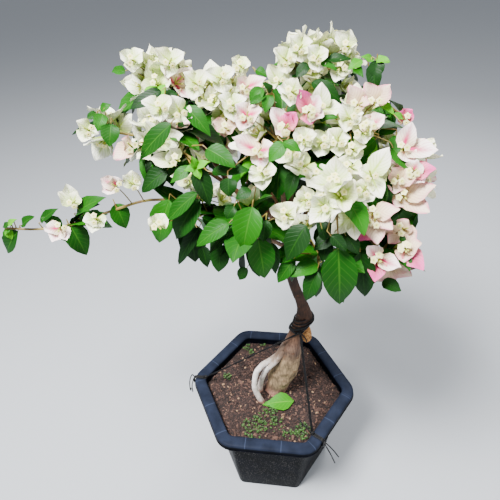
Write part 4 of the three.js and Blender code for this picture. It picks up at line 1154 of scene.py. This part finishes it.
for name, _, _, _, _, _, bloom, sprays, seed in MASSES:
    stem = limbs[name + " stem"]
    twigs.append((stem, 6))
    wood = [(a[:3], b[:3]) for a, b in zip(stem[1:], stem[2:])]
    hearts, reach, _ = spaces[name]
    leafy = bloom < LEAFY_BELOW
    counts = SPARSE.get(name, (sprays, round(sprays * (LEAFY_FINER if leafy else FINER))))
    for fine, (more, shares, least, spread, spacing, thick) in enumerate(PASSES):
        roll = dice(seed + more)
        test = in_crown if fine else (lambda points: in_space(points, name))
        least_leaf = FINE_LENGTH if fine and not leafy else LEAST_LENGTH
        for index in range(counts[fine]):
            draws = [roll() for _ in range(10)]
            up = 1 - 2 * (index + 0.5) / counts[fine]
            facing = index * GOLDEN_TURN + seed + more
            flat = math.sqrt(1 - up * up)
            way = np.array([flat * math.cos(facing), flat * math.sin(facing), up])
            span = 1 / np.linalg.norm(way / reach)
            share_in_bloom = bloom + MORE_ON_TOP * up - LESS_WHEN_FINE * fine
            flowering = draws[0] < share_in_bloom and name != "side_shoot"
            lengths = [least_leaf + LENGTH_RANGE * draw for draw in draws[5:8]]
            for share in shares:
                depth = BLOOM_DEPTH if flowering else lengths[0] * LEAF_DEPTH
                tip = hearts[index % len(hearts)] + way * share * max(span - depth, 8)
                if fine:
                    foot = nearest_on(*np.array(wood).transpose(1, 0, 2), tip, 0.2, 0.1, 0.9)
                else:
                    foot = nearest_on(stem[1:-1, :3], stem[2:, :3], tip, 0.2, 0.04, 0.8)
                path = foot + (tip - foot) * np.linspace(0, 1, 9)[:, None]
                too_short = np.linalg.norm(tip - foot) < LEAST_TWIG
                if too_short or not np.all(test(path)) or not clear_of_limbs(path, name):
                    continue
                placed = False
                if flowering:
                    size, angle = least + spread * draws[2], draws[3] * math.pi * 2 / 3
                    placed = set_bloom(tip, unit(way + (0, 0, UPTURN)), 0.55 + 0.4 * draws[1], size, angle,
                                       name, test, spacing)
                for leaf in range(0 if flowering else 3):
                    tipped = 0.5 * draws[1] if leaf == 0 else 0.5 + 0.6 * draws[1 + leaf]
                    out, face = hang(way, tipped, draws[4] * math.pi * 2 + leaf * math.pi,
                                     FINE_DROOP if fine and leafy else DROOP)
                    node = tip + (foot - tip) * leaf * NODE_SHARE
                    root = node + out * (0 if leaf == 0 else LEAF_STALK)
                    if set_leaf(root, out, face, lengths[leaf], name, test,
                                LEAFY_SPACING if leafy else LEAF_SPACING):
                        placed = True
                        if leaf:
                            twigs.append((np.array([[*node, 0.8], [*root, 0.7]]), 4))
                    elif leaf == 0:
                        break
                if placed:
                    add_twig(foot, tip, thick)
                    wood.append((foot, tip))
                    break

# Twigs. The finest wood: olive-gold shoots and leaf stalks, smooth and slightly shiny. They join every
# leaf and bloom to its bough, and stand for the solid masses.
green_wood = finish("green_shoot", 0.55)
at = add(green_wood, "TexCoord", out="Object")
mottle = add(green_wood, "TexNoise", {"Vector": at, "Scale": 60, "Detail": 3})
add(green_wood, "ValToRGB", [mottle], {0.35: "6b5024", 0.65: "8f8136"}, to="Base Color")
growth = Heap()
for stations, sides in twigs:
    rings = np.array(tube_rings(smoothed(stations, 12), sides))
    growth.drop(rings.reshape(-1, 3), tube_faces(len(rings), sides), 0.5)
growth.gather("twigs_and_stalks", green_wood, "bough", ["mass_" + name for name in spaces])

# Leaves. Heart-shaped to ovate with a drawn-out tip, up to 87 mm long and most about 55 mm, folded
# along the midrib and waved at the edge. Old ones are dark, most mid green, and the youngest lime; the
# listed leaves that show dark are given the dark green too, which for them is partly painted shade.

# outlines of blades: places along the midrib and half widths there, as shares of the whole
LEAF_OUTLINE = [(0, 0.08), (0.05, 0.48), (0.17, 0.86), (0.35, 1.0), (0.56, 0.91), (0.75, 0.63), (0.91, 0.25)]
ACROSS = np.linspace(-1, 1, 5)
HALF_THICK = 0.35


def blade_pattern(rows):
    """Faces of a thin closed blade: an upper and an under skin that share their rim and tip."""
    columns = len(ACROSS)
    upper = np.arange(rows * columns).reshape(rows, columns)
    tip = rows * columns
    under = upper.copy()
    under[1:, 1:-1] = tip + 1 + np.arange((rows - 1) * (columns - 2)).reshape(rows - 1, columns - 2)
    faces = []
    for r in range(rows - 1):
        for c in range(columns - 1):
            faces.append([upper[r, c], upper[r + 1, c], upper[r + 1, c + 1], upper[r, c + 1]])
            faces.append([under[r, c], under[r, c + 1], under[r + 1, c + 1], under[r + 1, c]])
    for c in range(columns - 1):
        faces.append([upper[-1, c], tip, upper[-1, c + 1]])
        faces.append([under[-1, c], under[-1, c + 1], tip])
    return [[int(i) for i in face] for face in faces]


RUFFLES = 9


def blade(outline, root, out, face, length, half, fold, bow, curl, wave, phase):
    """Points of a blade, and their uv: u across it and v along it."""
    t, w = np.array(outline).T[..., None]
    y = half * w * ACROSS
    z = fold * np.abs(y) + bow * length * np.sin(t * math.pi) - curl * length * t ** 2
    z = z + wave * ACROSS ** 2 * np.sin(phase + t * RUFFLES + ACROSS * 2)
    x = length * (t + 0 * ACROSS)
    side = np.cross(face, out)
    grid = (root + x[..., None] * out + y[..., None] * side + z[..., None] * face).reshape(-1, 3)
    tip = root + out * length - face * curl * length
    flat = np.stack([(ACROSS + 1) / 2 + 0 * t, t + 0 * ACROSS], axis=2).reshape(-1, 2)
    inner = np.arange(len(grid)).reshape(len(outline), -1)[1:, 1:-1].ravel()
    points = np.concatenate([grid, [tip], grid[inner] - face * HALF_THICK])
    points[inner] += face * HALF_THICK
    return points, np.concatenate([flat, [(0.5, 1)], flat[inner]])


def blade_lines(material, sweep, pitch, width, strength):
    """How far off the midrib and along it a place is, and side veins that sweep towards the tip."""
    flat = add(material, "SeparateXYZ", [add(material, "TexCoord", out="UV")]).node.outputs
    off = add(material, "Math", [flat["X"], 0.5], operation="SUBTRACT")
    off = add(material, "Math", [off], operation="ABSOLUTE")
    swept = add(material, "Math", [off, sweep, flat["Y"]], operation="MULTIPLY_ADD")
    comb = add(material, "Math", [swept, pitch], operation="PINGPONG")
    return off, flat["Y"], add(material, "MapRange", [comb, width, 0.0, 0.0, strength])


LEAF_KINDS = {  # base and lighter green, vein colour
    "leaves_mid": ("0b3806", "1e620b", "40781e"),
    # dark green: old leaves, and for the listed leaves partly painted shade
    "leaves_dark": ("062405", "0e3a08", "275616"),
    "leaves_lime": ("2a7a0a", "53a212", "7cb836"),
}
leaf_finish = {}
for kind, (deep, light, vein) in LEAF_KINDS.items():
    # living leaf: a waxy skin, dulled by dust, with side veins an eighth of its length apart
    green = finish(kind.replace("leaves", "waxy_leaf"), 0.46, IOR=1.4, Specular_IOR_Level=0.18)
    off, _, veins = blade_lines(green, -0.55, 0.065, 0.012, 0.6)
    rib = add(green, "MapRange", [off, 0.04, 0.01])
    lines = add(green, "Math", [rib, veins], operation="MAXIMUM")
    faint = add(green, "Math", [lines, 0.4], operation="MULTIPLY")
    shade = add(green, "Attribute", attribute_name="shade", out="Fac")
    body = add(green, "Mix", {"Factor": shade, "A": deep, "B": light})
    add(green, "Mix", {"Factor": faint, "A": body, "B": vein}, to="Base Color")
    add(green, "Bump", {"Height": lines, "Strength": 0.5, "Distance": 0.0006}, to="Normal", invert=True)
    leaf_finish[kind] = green

YOUNG_LENGTH, YOUNG_ABOVE, OLD_BELOW = 50, 0.75, 0.38
WAVE = 1.6
chance = np.random.default_rng(23)
leaf_faces = blade_pattern(len(LEAF_OUTLINE))
heaps = {kind: Heap() for kind in LEAF_KINDS}
for root, out, face, length, half, kind in leaves:
    draw = chance.random(6)
    if not kind:
        is_young = length < YOUNG_LENGTH and draw[0] > YOUNG_ABOVE
        kind = "leaves_lime" if is_young else "leaves_dark" if draw[0] < OLD_BELOW else "leaves_mid"
    half = half or length * (0.32 + 0.04 * draw[1])
    points, uv = blade(LEAF_OUTLINE, root, out, face, length, half, fold=0.12 + 0.3 * draw[2],
                       bow=0.02 + 0.05 * draw[3], curl=0.05 + 0.14 * draw[4], wave=WAVE,
                       phase=draw[5] * ANY_TURN)
    heaps[kind].drop(points, leaf_faces, float(draw[3]), uv)

# the dropped leaf on the soil in front of the trunk
NARROW_OUTLINE = [(0, 0.03), (0.1, 0.4), (0.22, 0.8), (0.38, 1.0), (0.58, 0.8), (0.74, 0.42), (0.9, 0.16)]
along = unit(np.array([-59.0, -14, 0]))
tilted = unit(np.array([0.0, -0.35, 1]) - along * along.dot([0.0, -0.35, 1]))
foot, length, half = np.array([48.0, -33, 210]), 68, 19
points, uv = blade(NARROW_OUTLINE, foot, along, tilted, length, half, fold=0.2, bow=0.03, curl=0.05,
                   wave=2.4, phase=1.0)
dropped = Heap()
dropped.drop(points, leaf_faces, 0.1, uv)
dropped.gather("dropped_leaf", leaf_finish["leaves_lime"], "lime_leaf", ["fallen_leaf"])
for kind, heap in heaps.items():
    heap.gather(kind, leaf_finish[kind], "leaves", sharp=60)

# Blooms. Each is three papery bracts, up to 47 mm long, that stand round three slim flowers. Most are
# creamy white with a green flush at the foot, a few are streaked with pink, and many low down on the
# right blush all over.
BRACT_KINDS = {  # paper, aged paper, foot flush, veins, streak, and where it fades out and is full
    "bracts_white": ("fffff2", "f6f2c4", "aac83c", "b2c654", "a8c43c", (0.08, 0.01)),
    "bracts_streaked": ("fff2f0", "f8dcd4", "dccf8e", "d87098", "c01060", (0.24, 0.04)),
    "bracts_blush": ("efd6c4", "dcbca6", "c8b478", "b87878", "cf4c88", (0.2, 0.5)),
    "bracts_pink": ("de5c9e", "c83f86", "e0a080", "b82064", "a0084c", (0.34, 0.04)),
}
bract_finish = {}
for kind, (paper, aged, foot, vein, streak, (thin, full)) in BRACT_KINDS.items():
    # bract: dry, papery and slightly silky, with a midvein and side veins up to 7 mm apart
    papery = finish(kind.replace("bracts", "papery_bract"), 0.55, IOR=1.4)
    off, along, veins = blade_lines(papery, -0.9, 0.075, 0.02, 1.0)
    shade = add(papery, "Attribute", attribute_name="shade", out="Fac")
    body = add(papery, "Mix", {"Factor": shade, "A": paper, "B": aged})
    at_foot = add(papery, "MapRange", [along, 0.72, 0.0, 0.0, 0.95])
    flushed = add(papery, "Mix", {"Factor": at_foot, "A": body, "B": foot})
    strength = add(papery, "MapRange", [along, 0.1, 0.9, 0.9, 0.4])
    faint = add(papery, "Math", [veins, strength], operation="MULTIPLY")
    netted = add(papery, "Mix", {"Factor": faint, "A": flushed, "B": vein})
    rib = add(papery, "MapRange", [off, thin, full])
    fading = add(papery, "MapRange", [along, 1.0, 0.3] if full < thin else [along, 0.3, 1.0])
    streaked = add(papery, "Math", [rib, fading], operation="MULTIPLY")
    add(papery, "Mix", {"Factor": streaked, "A": netted, "B": streak}, to="Base Color")
    add(papery, "Bump", {"Height": veins, "Strength": 0.4, "Distance": 0.0005}, to="Normal")
    bract_finish[kind] = papery

BLUSH_BELOW, BLUSH_FROM, BLUSH_EDGE = 700, 110, 190  # z and x in mm
LOW_BLUSH, EDGE_BLUSH, STREAKED = 0.7, 0.4, 0.05  # shares of the blooms there, and of all others
BRACT_OUTLINE = [(0, 0.14), (0.07, 0.56), (0.2, 0.9), (0.38, 1.0), (0.58, 0.87), (0.77, 0.56), (0.92, 0.22)]
bract_faces = blade_pattern(len(BRACT_OUTLINE))
heaps = {kind: Heap() for kind in BRACT_KINDS}
flowers = Heap()


FLOWER_STALK, FLOWER_LENGTH, OPEN_FLOWERS = 1.5, 13, 2.6
NOTCH, THROAT, BUD_TIP = 0.72, 1, 1.2  # between lobes as a share of their radius, and in mm


def flower(heap, foot, way, length, opened):
    """A slim tube that flares into a five-lobed star with a hollow throat, or stays a closed bud."""
    if opened:
        sides, stations = 10, [(0, 0.9), (0.6, 1.1), (0.97, 1.3), (1.0, 5.2), (1.04, 1.5)]
        shades = [0.15, 0.2, 0.5, 1.0, 0.75]
    else:
        sides, stations, shades = 5, [(0, 0.9), (0.6, 1.3), (1, 1.2)], [0.15, 0.2, 0.3]
    rings = np.array(tube_rings([[*(foot + way * length * t), r] for t, r in stations], sides))
    if opened:
        centre = foot + way * length
        rings[3, 1::2] = centre + (rings[3, 1::2] - centre) * NOTCH
    points = np.concatenate([*rings, [foot + way * (length - THROAT if opened else length + BUD_TIP)]])
    last = len(rings) * sides
    *walls, base, _ = tube_faces(len(rings), sides)
    throat = [[last - sides + s, last - sides + (s + 1) % sides, last] for s in range(sides)]
    heap.drop(points, [*walls, *throat, base], [*np.repeat(shades, sides), 0.0],
              np.full((len(points), 2), 0.5))


for tip, axis, spread, length, angle in blooms:
    draw = chance.random(8)
    low_right = tip[0] > BLUSH_FROM and tip[2] < BLUSH_BELOW and draw[0] < LOW_BLUSH
    blushing = low_right or tip[0] > BLUSH_EDGE and draw[0] < EDGE_BLUSH
    kind = "bracts_blush" if blushing else "bracts_streaked" if draw[0] < STREAKED else "bracts_white"
    for bract in range(3):
        loose = chance.random(7)
        out, face = fanned(axis, spread * (0.75 + 0.5 * loose[0]), angle + bract * math.pi * 2 / 3)
        size = length * (0.92 + 0.12 * loose[1])
        points, uv = blade(BRACT_OUTLINE, tip, out, face, size, size * (0.37 + 0.06 * loose[2]),
                           fold=0.12 + 0.28 * loose[3], bow=-0.05 - 0.07 * loose[4],
                           curl=-0.04 + 0.22 * loose[5], wave=3.0, phase=loose[6] * ANY_TURN)
        heaps[kind].drop(points, bract_faces, float(draw[1] * 0.6), uv)
        way, _ = fanned(axis, spread * 0.45, angle + bract * math.pi * 2 / 3)
        flower(flowers, tip + way * FLOWER_STALK, way, FLOWER_LENGTH + 6 * draw[2 + bract],
               draw[5] * OPEN_FLOWERS > bract)

for root, out, face, length, half, kind in front_bracts:
    loose = chance.random(5)
    points, uv = blade(BRACT_OUTLINE, root, out, face, length, half, fold=0.12 + 0.25 * loose[0],
                       bow=-0.04 - 0.06 * loose[1], curl=0.12 * loose[2], wave=2.8,
                       phase=loose[3] * ANY_TURN)
    heaps[kind].drop(points, bract_faces, loose[4] * 0.6, uv)
for root in front_hearts:
    loose = chance.random(2)
    for stalk in range(3):
        way, _ = fanned(unit(EYE - root), 0.35, loose[0] * ANY_TURN + stalk * math.pi * 2 / 3)
        flower(flowers, root + way * FLOWER_STALK, way, FLOWER_LENGTH + 4 * loose[1], stalk > 0)
for kind, heap in heaps.items():
    heap.gather(kind, bract_finish[kind], "blooms", sharp=60)

# flowers: cream-yellow stars on greenish tubes, soft and matt
petal = finish("soft_petal", 0.6)
shade = add(petal, "Attribute", attribute_name="shade", out="Fac")
add(petal, "ValToRGB", [shade], {0: "8d9a3a", 0.4: "d0d266", 0.8: "f2ea94", 1: "f7f2bc"}, to="Base Color")
flowers.gather("small_flowers", petal, "blooms", sharp=60)
